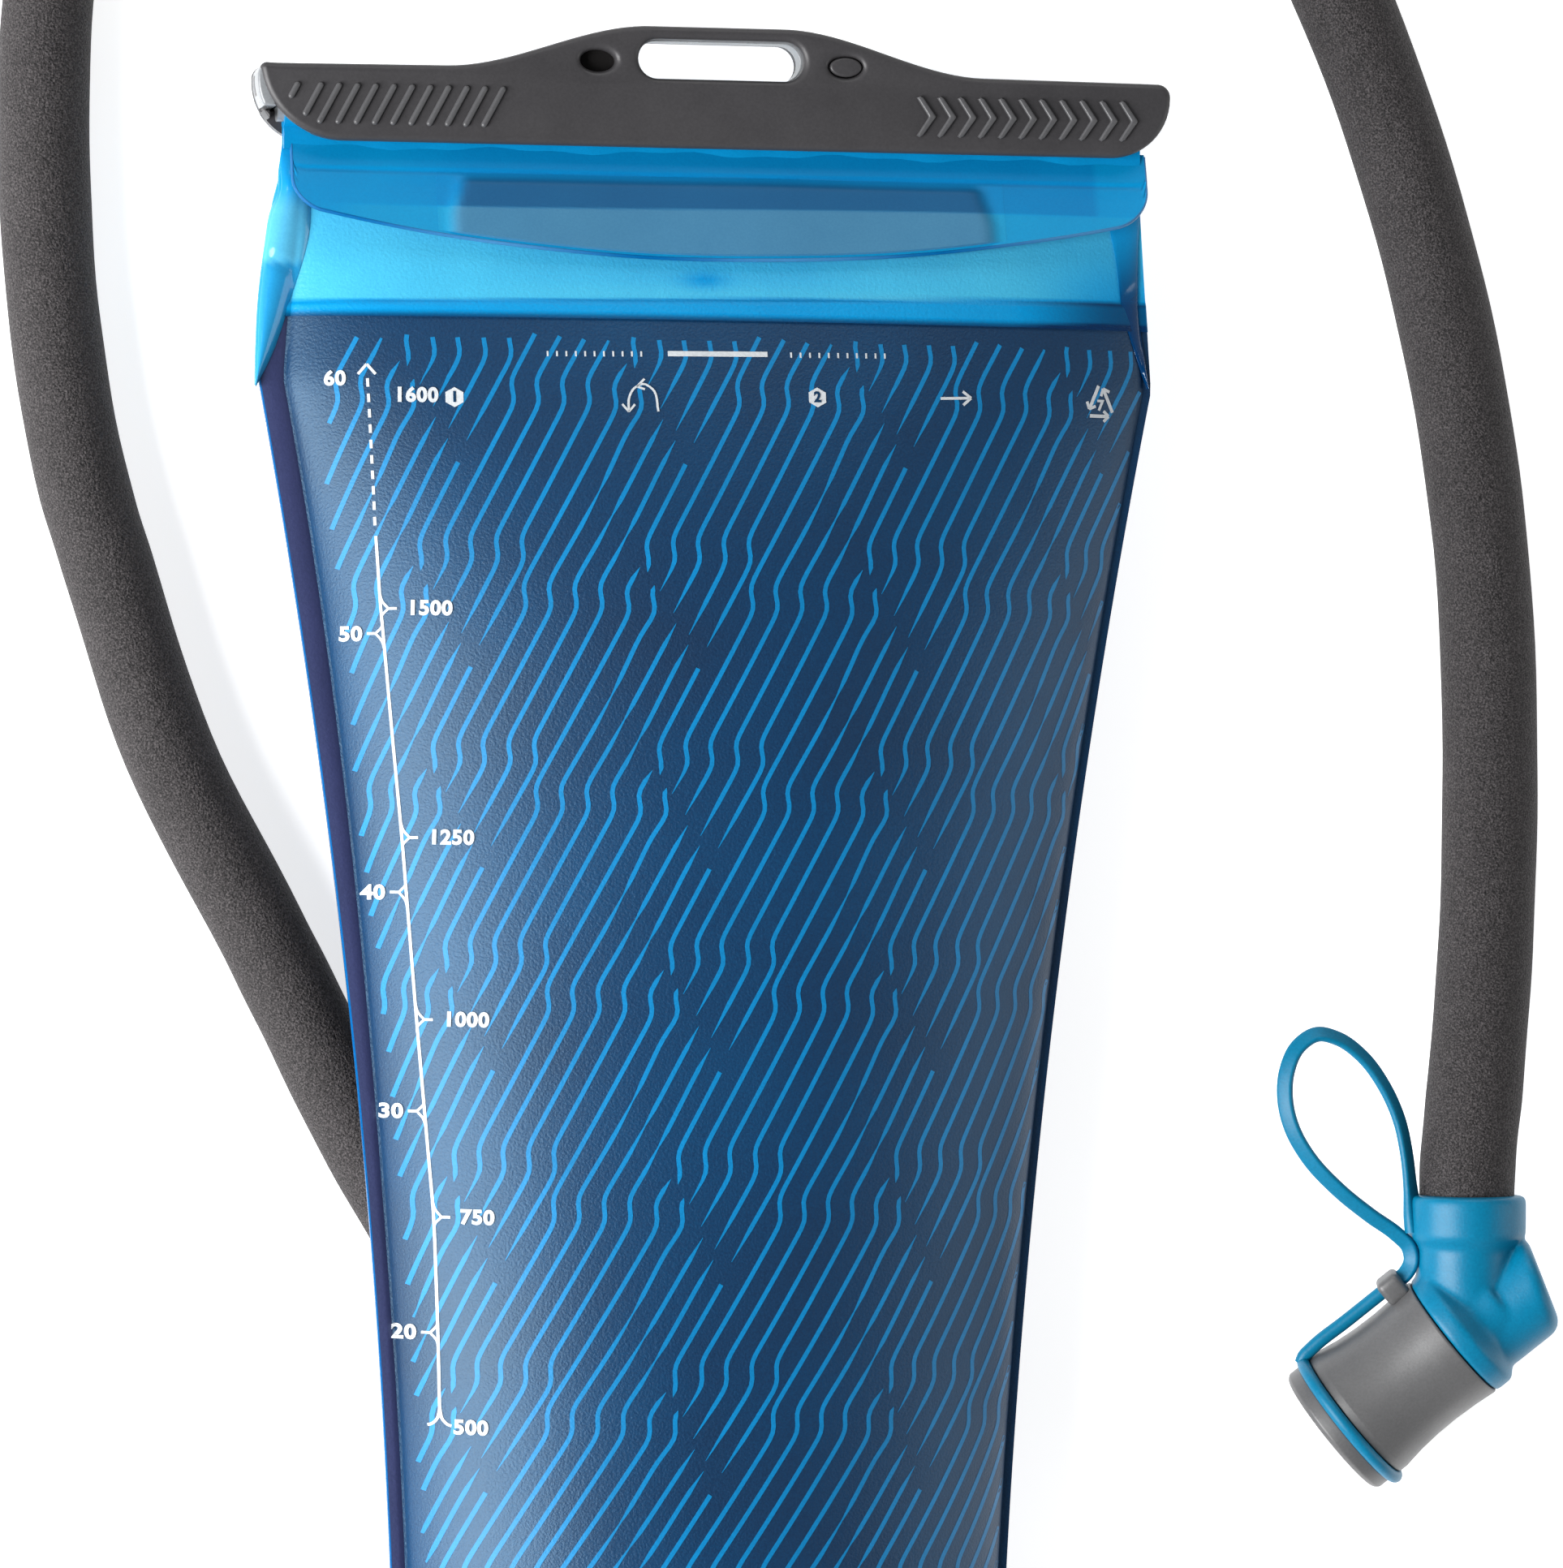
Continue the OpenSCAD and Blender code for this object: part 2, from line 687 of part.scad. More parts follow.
module tether_loop() {
    color(valve_blue) swept_bar(loop_route, tether_r, 8, [0, 0, 1]);
}

front_panel();
back_panel();
mouth_collar_front();
mouth_collar_back();
mouth_fold();
closure_rail();
mouth_flap();
pull_tab();
slider_front_shell();
slider_back_shell();
slider_core();
slider_peg();
port_flange();
port_body();
shutoff_poppet();
poppet_seal();
poppet_spring();
release_button();
tube_connector();
connector_seal();
drink_tube();
insulation_sleeve();
swivel_barb();
swivel_seal();
valve_elbow();
shutoff_core();
mouthpiece();
dust_cover();
tether_strap();
tether_loop();
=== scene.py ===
import math

import bmesh
import bpy
import numpy as np
from mathutils import Matrix, Vector


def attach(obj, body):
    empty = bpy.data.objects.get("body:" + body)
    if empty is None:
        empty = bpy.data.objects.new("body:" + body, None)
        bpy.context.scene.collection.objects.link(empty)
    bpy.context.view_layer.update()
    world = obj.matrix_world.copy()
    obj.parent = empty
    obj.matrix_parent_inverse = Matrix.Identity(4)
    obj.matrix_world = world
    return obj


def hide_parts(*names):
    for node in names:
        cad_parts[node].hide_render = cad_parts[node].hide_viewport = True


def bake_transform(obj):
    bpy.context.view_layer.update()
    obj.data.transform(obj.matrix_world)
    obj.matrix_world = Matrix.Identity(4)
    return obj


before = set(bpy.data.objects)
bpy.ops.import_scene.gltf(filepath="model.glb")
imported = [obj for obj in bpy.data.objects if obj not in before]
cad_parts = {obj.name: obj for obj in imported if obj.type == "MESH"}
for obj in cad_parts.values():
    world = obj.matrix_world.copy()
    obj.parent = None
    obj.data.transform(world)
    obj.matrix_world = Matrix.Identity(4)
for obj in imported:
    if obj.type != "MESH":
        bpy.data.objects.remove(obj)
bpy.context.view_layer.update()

# A hydration bladder with its slide bar, insulated drink tube and bite valve. Lengths are written in
# millimetres, in the frame of the CAD model, and MM turns them into Blender's metres.
MM = 0.001


# ---- Camera, floor and light ----

AIM = (14.659, 39.467, 25.0)
CAMERA_DISTANCE = 1500.0


def make_camera():
    """Looks down at the bag, swung a little to one side and rolled by less than half a degree."""
    swing, roll = math.radians(11.0), math.radians(0.4157)
    ahead = Vector((math.sin(swing), 0, -math.cos(swing)))
    level = Vector((math.cos(swing), 0, math.sin(swing)))
    up = Vector((0, 1, 0))
    right = level * math.cos(roll) + up * math.sin(roll)
    top = up * math.cos(roll) - level * math.sin(roll)
    data = bpy.data.cameras.new("camera")
    data.lens = 180.3
    data.sensor_width = 36.0
    camera = bpy.data.objects.new("camera", data)
    turn = Matrix((right, top, -ahead)).transposed().to_4x4()
    camera.matrix_world = Matrix.Translation((Vector(AIM) - CAMERA_DISTANCE * ahead) * MM) @ turn
    bpy.context.scene.collection.objects.link(camera)
    bpy.context.scene.camera = camera


def area_light(name, direction, distance, width, height, power):
    """Rectangular light, sizes in metres and power in watts, that faces the bag."""
    data = bpy.data.lights.new(name, "AREA")
    data.shape = "RECTANGLE"
    data.size, data.size_y = width, height
    data.energy = power
    light = bpy.data.objects.new(name, data)
    aim = Vector((0, 0.03, 0.02))
    away = Vector(direction).normalized()
    light.location = aim + away * distance
    light.rotation_euler = away.to_track_quat("Z", "Y").to_euler()
    bpy.context.scene.collection.objects.link(light)


def make_world():
    """Even sky, darker overhead so that the film's gloss stays clear, brighter towards the horizon."""
    world = bpy.data.worlds.new("studio")
    bpy.context.scene.world = world
    world.use_nodes = True
    tree = world.node_tree
    coords = tree.nodes.new("ShaderNodeTexCoord")
    split = tree.nodes.new("ShaderNodeSeparateXYZ")
    ramp = tree.nodes.new("ShaderNodeValToRGB")
    ramp.color_ramp.elements[0].position = 0.25
    ramp.color_ramp.elements[0].color = (1, 1, 1, 1)
    ramp.color_ramp.elements[1].position = 0.95
    ramp.color_ramp.elements[1].color = (0.12, 0.12, 0.125, 1)
    tree.links.new(coords.outputs["Generated"], split.inputs[0])
    tree.links.new(split.outputs["Z"], ramp.inputs["Fac"])
    background = tree.nodes["Background"]
    tree.links.new(ramp.outputs["Color"], background.inputs["Color"])
    background.inputs["Strength"].default_value = 0.5


def make_floor():
    """Pale matt paper, a little below the lowest point."""
    verts = [(-3, -3, -0.0004), (3, -3, -0.0004), (3, 3, -0.0004), (-3, 3, -0.0004)]
    mesh = bpy.data.meshes.new("floor")
    mesh.from_pydata(verts, [], [(0, 1, 2, 3)])
    floor = bpy.data.objects.new("floor", mesh)
    bpy.context.scene.collection.objects.link(floor)
    material, tree, shader = new_material("floor_paper")
    shader.inputs["Base Color"].default_value = (0.9, 0.9, 0.9, 1)
    shader.inputs["Roughness"].default_value = 0.9
    shader.inputs["Specular IOR Level"].default_value = 0.1
    shader.inputs["Emission Color"].default_value = (1, 1, 1, 1)
    shader.inputs["Emission Strength"].default_value = 0.72
    bump(tree, shader, noise(tree, 2.0, 3.0), 0.02)
    mesh.materials.append(material)


# ---- Materials ----


def srgb(r, g, b):
    """A colour written as it looks on screen, from 0 to 255, as a linear one."""

    def linear(c):
        c /= 255
        return c / 12.92 if c <= 0.04045 else ((c + 0.055) / 1.055) ** 2.4

    return (linear(r), linear(g), linear(b), 1.0)


def new_material(name):
    material = bpy.data.materials.new(name)
    material.use_nodes = True
    tree = material.node_tree
    return material, tree, tree.nodes["Principled BSDF"]


def noise(tree, size, detail=2.0, stretch=(1, 1, 1)):
    """Noise whose grains are about size millimetres across, fixed to the piece."""
    coords = tree.nodes.new("ShaderNodeTexCoord")
    mapping = tree.nodes.new("ShaderNodeMapping")
    mapping.inputs["Scale"].default_value = stretch
    texture = tree.nodes.new("ShaderNodeTexNoise")
    texture.inputs["Scale"].default_value = 1 / (size * MM)
    texture.inputs["Detail"].default_value = detail
    tree.links.new(coords.outputs["Object"], mapping.inputs["Vector"])
    tree.links.new(mapping.outputs["Vector"], texture.inputs["Vector"])
    return texture.outputs["Fac"]


def attribute(tree, name):
    node = tree.nodes.new("ShaderNodeAttribute")
    node.attribute_name = name
    return node.outputs["Fac"]


def ramp(tree, value, stops):
    """Colours at places from 0 to 1 along value."""
    node = tree.nodes.new("ShaderNodeValToRGB")
    elements = node.color_ramp.elements
    while len(elements) < len(stops):
        elements.new(0.5)
    for element, (place, color) in zip(elements, stops, strict=True):
        element.position = place
        element.color = color
    tree.links.new(value, node.inputs["Fac"])
    return node.outputs["Color"]


def mix(tree, kind, factor, a, b):
    """Mix of two colours, where factor, a and b are each a value or a socket."""
    node = tree.nodes.new("ShaderNodeMix")
    node.data_type = "RGBA"
    node.blend_type = kind
    for socket, value in ((node.inputs[0], factor), (node.inputs[6], a), (node.inputs[7], b)):
        if isinstance(value, bpy.types.NodeSocket):
            tree.links.new(value, socket)
        else:
            socket.default_value = value
    return node.outputs[2]


def bump(tree, shader, height, depth, below=None):
    """Bump of depth millimetres, on top of another one if below is given."""
    node = tree.nodes.new("ShaderNodeBump")
    node.inputs["Distance"].default_value = depth * MM
    tree.links.new(height, node.inputs["Height"])
    if below is not None:
        tree.links.new(below, node.inputs["Normal"])
    tree.links.new(node.outputs["Normal"], shader.inputs["Normal"])
    return node.outputs["Normal"]


def vary(tree, shader, color, fine, coarse, amount=0.12):
    """Base colour that wanders a little, at a fine and at a coarse scale."""
    dark = tuple(c * (1 - amount) for c in color[:3]) + (1,)
    light = tuple(min(1, c * (1 + amount)) for c in color[:3]) + (1,)
    patches = ramp(tree, noise(tree, coarse, 3.0), [(0.3, dark), (0.7, light)])
    specks = ramp(tree, noise(tree, fine, 2.0), [(0.3, (0.85, 0.85, 0.85, 1)), (0.7, (1, 1, 1, 1))])
    result = mix(tree, "MULTIPLY", 1.0, patches, specks)
    tree.links.new(result, shader.inputs["Base Color"])
    return result


def plastic(name, color, roughness, grain=0.35, depth=0.01, specular=0.4, coat=0.0, coarse=18.0):
    """Moulded plastic: spark-eroded grain, slightly uneven gloss and colour."""
    material, tree, shader = new_material(name)
    vary(tree, shader, color, grain, coarse, 0.06)
    low, high = (roughness - 0.05,) * 3 + (1,), (roughness + 0.05,) * 3 + (1,)
    gloss = ramp(tree, noise(tree, 9.0, 4.0), [(0.3, low), (0.7, high)])
    tree.links.new(gloss, shader.inputs["Roughness"])
    shader.inputs["Specular IOR Level"].default_value = specular
    shader.inputs["Coat Weight"].default_value = coat
    bump(tree, shader, noise(tree, grain, 3.0), depth)
    return material


def clear(material, tree, shader, tint, share):
    """Lets a share of what lies behind the piece through, tinted."""
    veil = tree.nodes.new("ShaderNodeBsdfTransparent")
    veil.inputs["Color"].default_value = tint
    blend = tree.nodes.new("ShaderNodeMixShader")
    blend.inputs["Fac"].default_value = share
    tree.links.new(shader.outputs["BSDF"], blend.inputs[1])
    tree.links.new(veil.outputs["BSDF"], blend.inputs[2])
    tree.links.new(blend.outputs["Shader"], tree.nodes["Material Output"].inputs["Surface"])
    return material


def film(name, stops, tint, share, roughness=0.35, depth=0.02, coat=0.0, over=None):
    """Translucent film with a fine leathery grain. stops are its colours along the attribute tone.
    over gives the colours of what is laid on it, where the attribute laid is above 0."""
    material, tree, shader = new_material(name)
    base = ramp(tree, attribute(tree, "tone"), stops)
    if over:
        top = ramp(tree, attribute(tree, "tone"), over)
        base = mix(tree, "MIX", attribute(tree, "laid"), base, top)
    cloud = ramp(tree, noise(tree, 14.0, 3.0), [(0.3, (0.88, 0.92, 0.95, 1)), (0.7, (1, 1, 1, 1))])
    grain = ramp(tree, noise(tree, 0.45, 2.0), [(0.35, (0.9, 0.93, 0.95, 1)), (0.65, (1, 1, 1, 1))])
    color = mix(tree, "MULTIPLY", 1.0, mix(tree, "MULTIPLY", 1.0, base, cloud), grain)
    tree.links.new(color, shader.inputs["Base Color"])
    shader.inputs["Roughness"].default_value = roughness
    shader.inputs["Specular IOR Level"].default_value = 0.3
    shader.inputs["Specular Tint"].default_value = (0.6, 0.85, 1, 1)
    shader.inputs["Coat Weight"].default_value = coat
    shader.inputs["Coat Roughness"].default_value = 0.08
    first = bump(tree, shader, noise(tree, 6.0, 3.0), 0.05)
    bump(tree, shader, noise(tree, 0.6, 3.0), depth, first)
    return clear(material, tree, shader, tint, share)


def printed_film():
    """Navy ink on the inside of a frosted film: it stays dark and takes a broad grainy sheen."""
    material, tree, shader = new_material("printed_film")
    navy = [(0.3, srgb(0, 54, 92)), (0.5, srgb(2, 48, 84)), (0.7, srgb(10, 42, 74))]
    patches = ramp(tree, noise(tree, 40.0, 2.0), navy)
    specks = ramp(tree, noise(tree, 0.4, 2.0), [(0.3, (0.55, 0.62, 0.7, 1)), (0.7, (1, 1, 1, 1))])
    tree.links.new(mix(tree, "MULTIPLY", 1.0, patches, specks), shader.inputs["Base Color"])
    shader.inputs["Roughness"].default_value = 0.46
    shader.inputs["Specular IOR Level"].default_value = 0.6
    shader.inputs["Specular Tint"].default_value = (0.55, 0.8, 1, 1)
    first = bump(tree, shader, noise(tree, 26.0, 2.0), 0.12)
    bump(tree, shader, noise(tree, 0.5, 3.0), 0.1, first)
    return material


def ink(name, color, roughness=0.4, specular=0.4):
    """Screen print: a little uneven, with the film's grain under it."""
    material, tree, shader = new_material(name)
    vary(tree, shader, color, 0.5, 25.0, 0.1)
    shader.inputs["Roughness"].default_value = roughness
    shader.inputs["Specular IOR Level"].default_value = specular
    shader.inputs["Specular Tint"].default_value = (0.55, 0.8, 1, 1)
    bump(tree, shader, noise(tree, 0.5, 3.0), 0.05)
    return material


def foam_sleeve():
    """Foamed rubber sleeve: dense fine pits, with the light catching their edges."""
    material, tree, shader = new_material("sleeve_foam")
    greys = [(0.34, srgb(18, 16, 17)), (0.5, srgb(48, 45, 46)), (0.68, srgb(76, 72, 73))]
    specks = ramp(tree, noise(tree, 0.36, 2.0), greys)
    patches = ramp(tree, noise(tree, 9.0, 3.0), [(0.3, (0.84, 0.84, 0.84, 1)), (0.7, (1, 1, 1, 1))])
    tree.links.new(mix(tree, "MULTIPLY", 1.0, specks, patches), shader.inputs["Base Color"])
    shader.inputs["Roughness"].default_value = 0.7
    shader.inputs["Specular IOR Level"].default_value = 0.3
    first = bump(tree, shader, noise(tree, 1.6, 2.0), 0.12)
    bump(tree, shader, noise(tree, 0.5, 3.0), 0.5, first)
    return material


FLAP_STOPS = [(0, srgb(0, 122, 182)), (0.5, srgb(0, 144, 200)), (1, srgb(30, 152, 196))]


def make_materials():
    collar = [(0, srgb(76, 190, 226)), (0.5, srgb(0, 152, 214)), (1, srgb(4, 44, 88))]
    gusset = [(0, srgb(96, 190, 224)), (0.5, srgb(16, 148, 206)), (1, srgb(0, 58, 108))]
    bead = [(0, srgb(0, 96, 156)), (1, srgb(72, 132, 178))]
    frost = [(0, srgb(10, 76, 122)), (0.5, srgb(40, 108, 150)), (1, srgb(74, 130, 162))]
    return {
        "print": printed_film(),
        "weld": ink("weld_band", srgb(50, 54, 92), 0.42, 0.6),
        "edge": ink("film_edge", srgb(0, 104, 176), 0.3, 0.5),
        "cyan_ink": ink("cyan_print", srgb(0, 116, 172), 0.46, 0.5),
        "white_ink": ink("white_print", srgb(196, 200, 203), 0.5, 0.3),
        "navy_ink": ink("navy_print", srgb(8, 46, 78), 0.5, 0.3),
        "collar": film("collar_film", collar, (0.4, 0.82, 0.94, 1), 0.22, 0.34, 0.09),
        "gusset": film("gusset_film", gusset, (0.5, 0.86, 0.96, 1), 0.2, 0.16, 0.01, 0.6),
        "flap": film("flap_film", FLAP_STOPS, (0.2, 0.7, 0.9, 1), 0.12, 0.4, 0.03, 0.0),
        "bead": film("flap_bead", bead, (0.5, 0.8, 0.95, 1), 0.2, 0.3, 0.005, 0.2),
        "frosted": film("frosted_tab", FLAP_STOPS, (0.4, 0.7, 0.85, 1), 0.08, 0.42, 0.02, 0.0, frost),
        "charcoal": plastic("charcoal_plastic", srgb(58, 57, 59), 0.42, 0.5, 0.012, 0.35),
        # Painted highlight: a lighter copy of the charcoal, standing in for the light on the raised ribs.
        "grip": plastic("charcoal_lit_copy", srgb(80, 80, 82), 0.36, 0.5, 0.008, 0.4),
        # Painted shade: near black, only for the disc that darkens the bottom of the bar's hole.
        "dark": plastic("painted_hole_shade", srgb(26, 24, 24), 0.6, 0.5, 0.01, 0.2),
        "white": plastic("white_plastic", srgb(128, 131, 134), 0.3, 0.5, 0.004, 0.5, 0.2),
        "sleeve": foam_sleeve(),
        "tube": plastic("tube_plastic", srgb(100, 140, 165), 0.25, 0.6, 0.004, 0.5),
        "valve": plastic("valve_blue", srgb(0, 110, 146), 0.4, 0.5, 0.03, 0.25),
        "cover": plastic("cover_grey", srgb(88, 88, 89), 0.42, 0.5, 0.02, 0.6),
        "silicone": plastic("silicone", srgb(176, 196, 208), 0.3, 0.6, 0.006, 0.5),
        "rubber": plastic("seal_rubber", srgb(24, 24, 25), 0.5, 0.4, 0.008, 0.4),
        "steel": steel(),
    }


def steel():
    """Drawn wire."""
    material, tree, shader = new_material("spring_steel")
    vary(tree, shader, srgb(196, 197, 200), 0.2, 4.0, 0.08)
    shader.inputs["Metallic"].default_value = 1.0
    shader.inputs["Roughness"].default_value = 0.28
    bump(tree, shader, noise(tree, 0.15, 2.0, (1, 1, 6)), 0.004)
    return material


# ---- Mesh helpers ----


def add_piece(name, verts, faces, material, body, tone=None, laid=None, sharp=35.0):
    """A mesh piece from points in millimetres, which rides on a body."""
    mesh = bpy.data.meshes.new(name)
    mesh.from_pydata((np.asarray(verts, float) * MM).tolist(), [], faces)
    for kind, values in (("tone", tone), ("laid", laid)):
        if values is not None:
            layer = mesh.attributes.new(kind, "FLOAT", "POINT")
            layer.data.foreach_set("value", np.asarray(values, np.float32))
    return finish_piece(name, mesh, material, body, sharp)


def clean(mesh, merge=1e-6):
    """Joins points nearer than merge metres and turns the faces outwards."""
    work = bmesh.new()
    work.from_mesh(mesh)
    bmesh.ops.remove_doubles(work, verts=work.verts, dist=merge)
    bmesh.ops.recalc_face_normals(work, faces=work.faces)
    work.to_mesh(mesh)
    work.free()


def finish_piece(name, mesh, material, body, sharp=35.0):
    """Puts a mesh in the scene with its material and on its body."""
    clean(mesh)
    for face in mesh.polygons:
        face.use_smooth = True
    mesh.set_sharp_from_angle(angle=math.radians(sharp))
    for each in material if isinstance(material, list) else [material]:
        mesh.materials.append(each)
    piece = bpy.data.objects.new(name, mesh)
    bpy.context.scene.collection.objects.link(piece)
    if body:
        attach(piece, body)
    return piece


def strips(rows, cols, start=0, closed=False):
    """Quads of a grid of points, row after row. closed joins the last column to the first."""
    last = cols if closed else cols - 1
    return [
        (start + i * cols + j, start + i * cols + (j + 1) % cols,
         start + (i + 1) * cols + (j + 1) % cols, start + (i + 1) * cols + j)
        for i in range(rows - 1)
        for j in range(last)
    ]


def sheet(upper, lower):
    """Points and faces of a closed sheet between two grids of points."""
    rows, cols = upper.shape[:2]
    n = rows * cols
    rim = (
        [(0, j) for j in range(cols)]
        + [(i, cols - 1) for i in range(1, rows)]
        + [(rows - 1, j) for j in range(cols - 2, -1, -1)]
        + [(i, 0) for i in range(rows - 2, 0, -1)]
    )
    edge = [i * cols + j for i, j in rim]
    walls = [(a, b, n + b, n + a) for a, b in zip(edge, edge[1:] + edge[:1], strict=True)]
    verts = np.concatenate([upper.reshape(-1, 3), lower.reshape(-1, 3)])
    return verts, strips(rows, cols) + strips(rows, cols, n) + walls


def smooth_path(points, per_span):
    """A smooth curve through points, with per_span steps from each to the next."""
    p = np.array(points, float)
    p = np.vstack([2 * p[0] - p[1], p, 2 * p[-1] - p[-2]])
    out = []
    for a, b, c, d in zip(p, p[1:], p[2:], p[3:], strict=False):
        l1, l2, l3 = (np.linalg.norm(q - r) for q, r in ((b, a), (c, b), (d, c)))
        m1 = l2 * ((b - a) / l1 * l2 + (c - b) / l2 * l1) / (l1 + l2)
        m2 = l2 * ((c - b) / l2 * l3 + (d - c) / l3 * l2) / (l2 + l3)
        for t in np.arange(per_span) / per_span:
            out.append(
                (2 * t**3 - 3 * t**2 + 1) * b + (t**3 - 2 * t**2 + t) * m1
                + (3 * t**2 - 2 * t**3) * c + (t**3 - t**2) * m2
            )
    out.append(p[-2])
    return np.array(out)


def sweep(path, profile, side=(0, 0, 1), sizes=None, closed=False):
    """Points and faces of a profile carried along a path. side is a direction the path never takes."""
    path = np.asarray(path, float)
    if closed:
        ahead = np.roll(path, -1, 0) - np.roll(path, 1, 0)
    else:
        ahead = np.gradient(path, axis=0)
    ahead /= np.linalg.norm(ahead, axis=1)[:, None]
    across = np.cross(ahead, side)
    across /= np.linalg.norm(across, axis=1)[:, None]
    up = np.cross(across, ahead)
    profile = np.asarray(profile, float)
    sizes = np.ones(len(path)) if sizes is None else np.asarray(sizes, float)
    rings = path[:, None] + sizes[:, None, None] * (
        profile[None, :, :1] * across[:, None] + profile[None, :, 1:] * up[:, None]
    )
    rows, cols = rings.shape[:2]
    verts = rings.reshape(-1, 3)
    faces = strips(rows, cols, closed=True)
    if closed:
        base = (rows - 1) * cols
        faces += [(base + j, base + (j + 1) % cols, (j + 1) % cols, j) for j in range(cols)]
    else:
        faces += [tuple(range(cols)), tuple(range((rows - 1) * cols, rows * cols))]
    return verts, faces


def ellipse(width, height, steps):
    angles = np.arange(steps) * 2 * math.pi / steps
    return np.stack([width * np.cos(angles), height * np.sin(angles)], 1)


def fillet(points, radii, steps=6):
    """An open outline with its inner corners rounded; radii is one number or one for each inner corner."""
    points = [np.array(p, float) for p in points]
    inner = len(points) - 2
    radii = [radii] * inner if isinstance(radii, (int, float)) else radii
    out = [points[0]]
    for before, corner, after, r in zip(points, points[1:], points[2:], radii, strict=False):
        u, v = before - corner, after - corner
        lu, lv = np.linalg.norm(u), np.linalg.norm(v)
        u, v = u / lu, v / lv
        half = math.acos(max(-1, min(1, float(u @ v)))) / 2
        if r <= 0 or half > 1.5:
            out.append(corner)
            continue
        reach = min(r / math.tan(half), 0.48 * lu, 0.48 * lv)
        for t in np.linspace(0, 1, steps + 1):
            out.append(corner + reach * ((1 - t) ** 2 * u + t**2 * v))
    return np.array(out + [points[-1]])


def lathe(profile, segments=96):
    """Points and faces of a profile of (radius, height) turned round the Z axis."""
    angles = np.arange(segments) * 2 * math.pi / segments
    r, z = np.asarray(profile, float).T
    rings = np.stack(
        [r[:, None] * np.cos(angles), r[:, None] * np.sin(angles), np.repeat(z[:, None], segments, 1)], 2
    )
    return rings.reshape(-1, 3), strips(len(r), segments, closed=True)


def placed(matrix, verts):
    """Points carried by a 4x4 matrix in millimetres."""
    m = np.array(matrix)
    return np.asarray(verts, float) @ m[:3, :3].T + m[:3, 3]


def to_mesh(source, name):
    """A plain mesh of what an object looks like with its modifiers. The object itself goes."""
    graph = bpy.context.evaluated_depsgraph_get()
    mesh = bpy.data.meshes.new_from_object(source.evaluated_get(graph))
    mesh.name = name
    bpy.data.objects.remove(source)
    return mesh


def plate_mesh(name, loops, low, high, bevel, matrix=None, rounds=4):
    """A flat plate with rounded edges. loops is its outline and its holes, in millimetres."""
    curve = bpy.data.curves.new(name, "CURVE")
    curve.dimensions, curve.fill_mode = "2D", "BOTH"
    for loop in loops:
        spline = curve.splines.new("POLY")
        spline.points.add(len(loop) - 1)
        flat = np.column_stack([np.asarray(loop, float) * MM, np.zeros(len(loop)), np.ones(len(loop))])
        spline.points.foreach_set("co", flat.astype(np.float32).ravel())
        spline.use_cyclic_u = True
    curve.extrude = ((high - low) / 2 - bevel) * MM
    curve.bevel_depth, curve.offset = bevel * MM, -bevel * MM
    curve.bevel_resolution = rounds
    source = bpy.data.objects.new(name, curve)
    bpy.context.scene.collection.objects.link(source)
    mesh = to_mesh(source, name)
    mesh.transform(Matrix.Translation((0, 0, (low + high) / 2 * MM)))
    if matrix is not None:
        lift = matrix.copy()
        lift.translation *= MM
        mesh.transform(lift)
    return mesh


def joined(name, meshes):
    """One mesh of several."""
    work = bmesh.new()
    for mesh in meshes:
        work.from_mesh(mesh)
    out = bpy.data.meshes.new(name)
    work.to_mesh(out)
    work.free()
    return out


def mesh_of(verts, faces):
    """A closed mesh from points in millimetres. A pole drawn as a tiny ring becomes one point."""
    mesh = bpy.data.meshes.new("block")
    mesh.from_pydata((np.asarray(verts, float) * MM).tolist(), [], faces)
    clean(mesh, 4e-6)
    return mesh


def box_mesh(low, high, matrix=None):
    """A box between two corners in millimetres, for cutting."""
    (x0, y0, z0), (x1, y1, z1) = low, high
    verts = [(x, y, z) for z in (z0, z1) for x, y in ((x0, y0), (x1, y0), (x1, y1), (x0, y1))]
    faces = [(3, 2, 1, 0), (4, 5, 6, 7), (0, 1, 5, 4), (1, 2, 6, 5), (2, 3, 7, 6), (3, 0, 4, 7)]
    return mesh_of(verts if matrix is None else placed(matrix, verts), faces)


def carved(mesh, cutters):
    """A mesh with other meshes cut away from it."""
    clean(mesh)
    source = bpy.data.objects.new("carving", mesh)
    bpy.context.scene.collection.objects.link(source)
    helpers = []
    for cutter in cutters:
        helper = bpy.data.objects.new("cutter", cutter)
        bpy.context.scene.collection.objects.link(helper)
        modifier = source.modifiers.new("cut", "BOOLEAN")
        modifier.object, modifier.operation, modifier.solver = helper, "DIFFERENCE", "EXACT"
        helpers.append(helper)
    out = to_mesh(source, mesh.name + "_cut")
    for helper in helpers:
        bpy.data.objects.remove(helper)
    return out


def smooth(t):
    t = np.clip(t, 0, 1)
    return t * t * (3 - 2 * t)


# ---- The drink tube and its sleeve ----

TUBE_ROUTE = [
    (-15.7, -109, 8.75), (-24, -97.5, 8.75), (-37, -75, 8.75), (-51.7, -48, 8.75), (-63.4, -28, 8.75),
    (-74.5, -6, 8.75), (-83.2, 11, 8.75), (-101, 45, 8.75), (-112.5, 79, 8.75), (-117.5, 95, 8.75),
    (-123.2, 125.5, 8.75), (-125.5, 156, 8.75), (-125, 187, 8.75), (-120, 219, 8.75), (-107, 251, 8.75),
    (-85, 278, 8.75), (-55, 297, 8.75), (-19, 305, 8.75), (18, 302, 8.75), (52, 288, 8.75),
    (83, 263, 8.75), (108, 231, 8.75), (128, 195, 8.75), (142, 158.5, 8.75), (151.5, 123, 8.75),
    (157.2, 87.5, 8.75), (159.3, 47, 9.5), (157.5, 12, 14.5), (153.6, -18, 21), (151.6, -34, 23),
    (151.5, -47.5, 23),
]
SLEEVE_R = 8.75
# The sleeve's right part is this share thicker, from the arch down to the valve's collar
SLEEVE_SWELL = 0.07


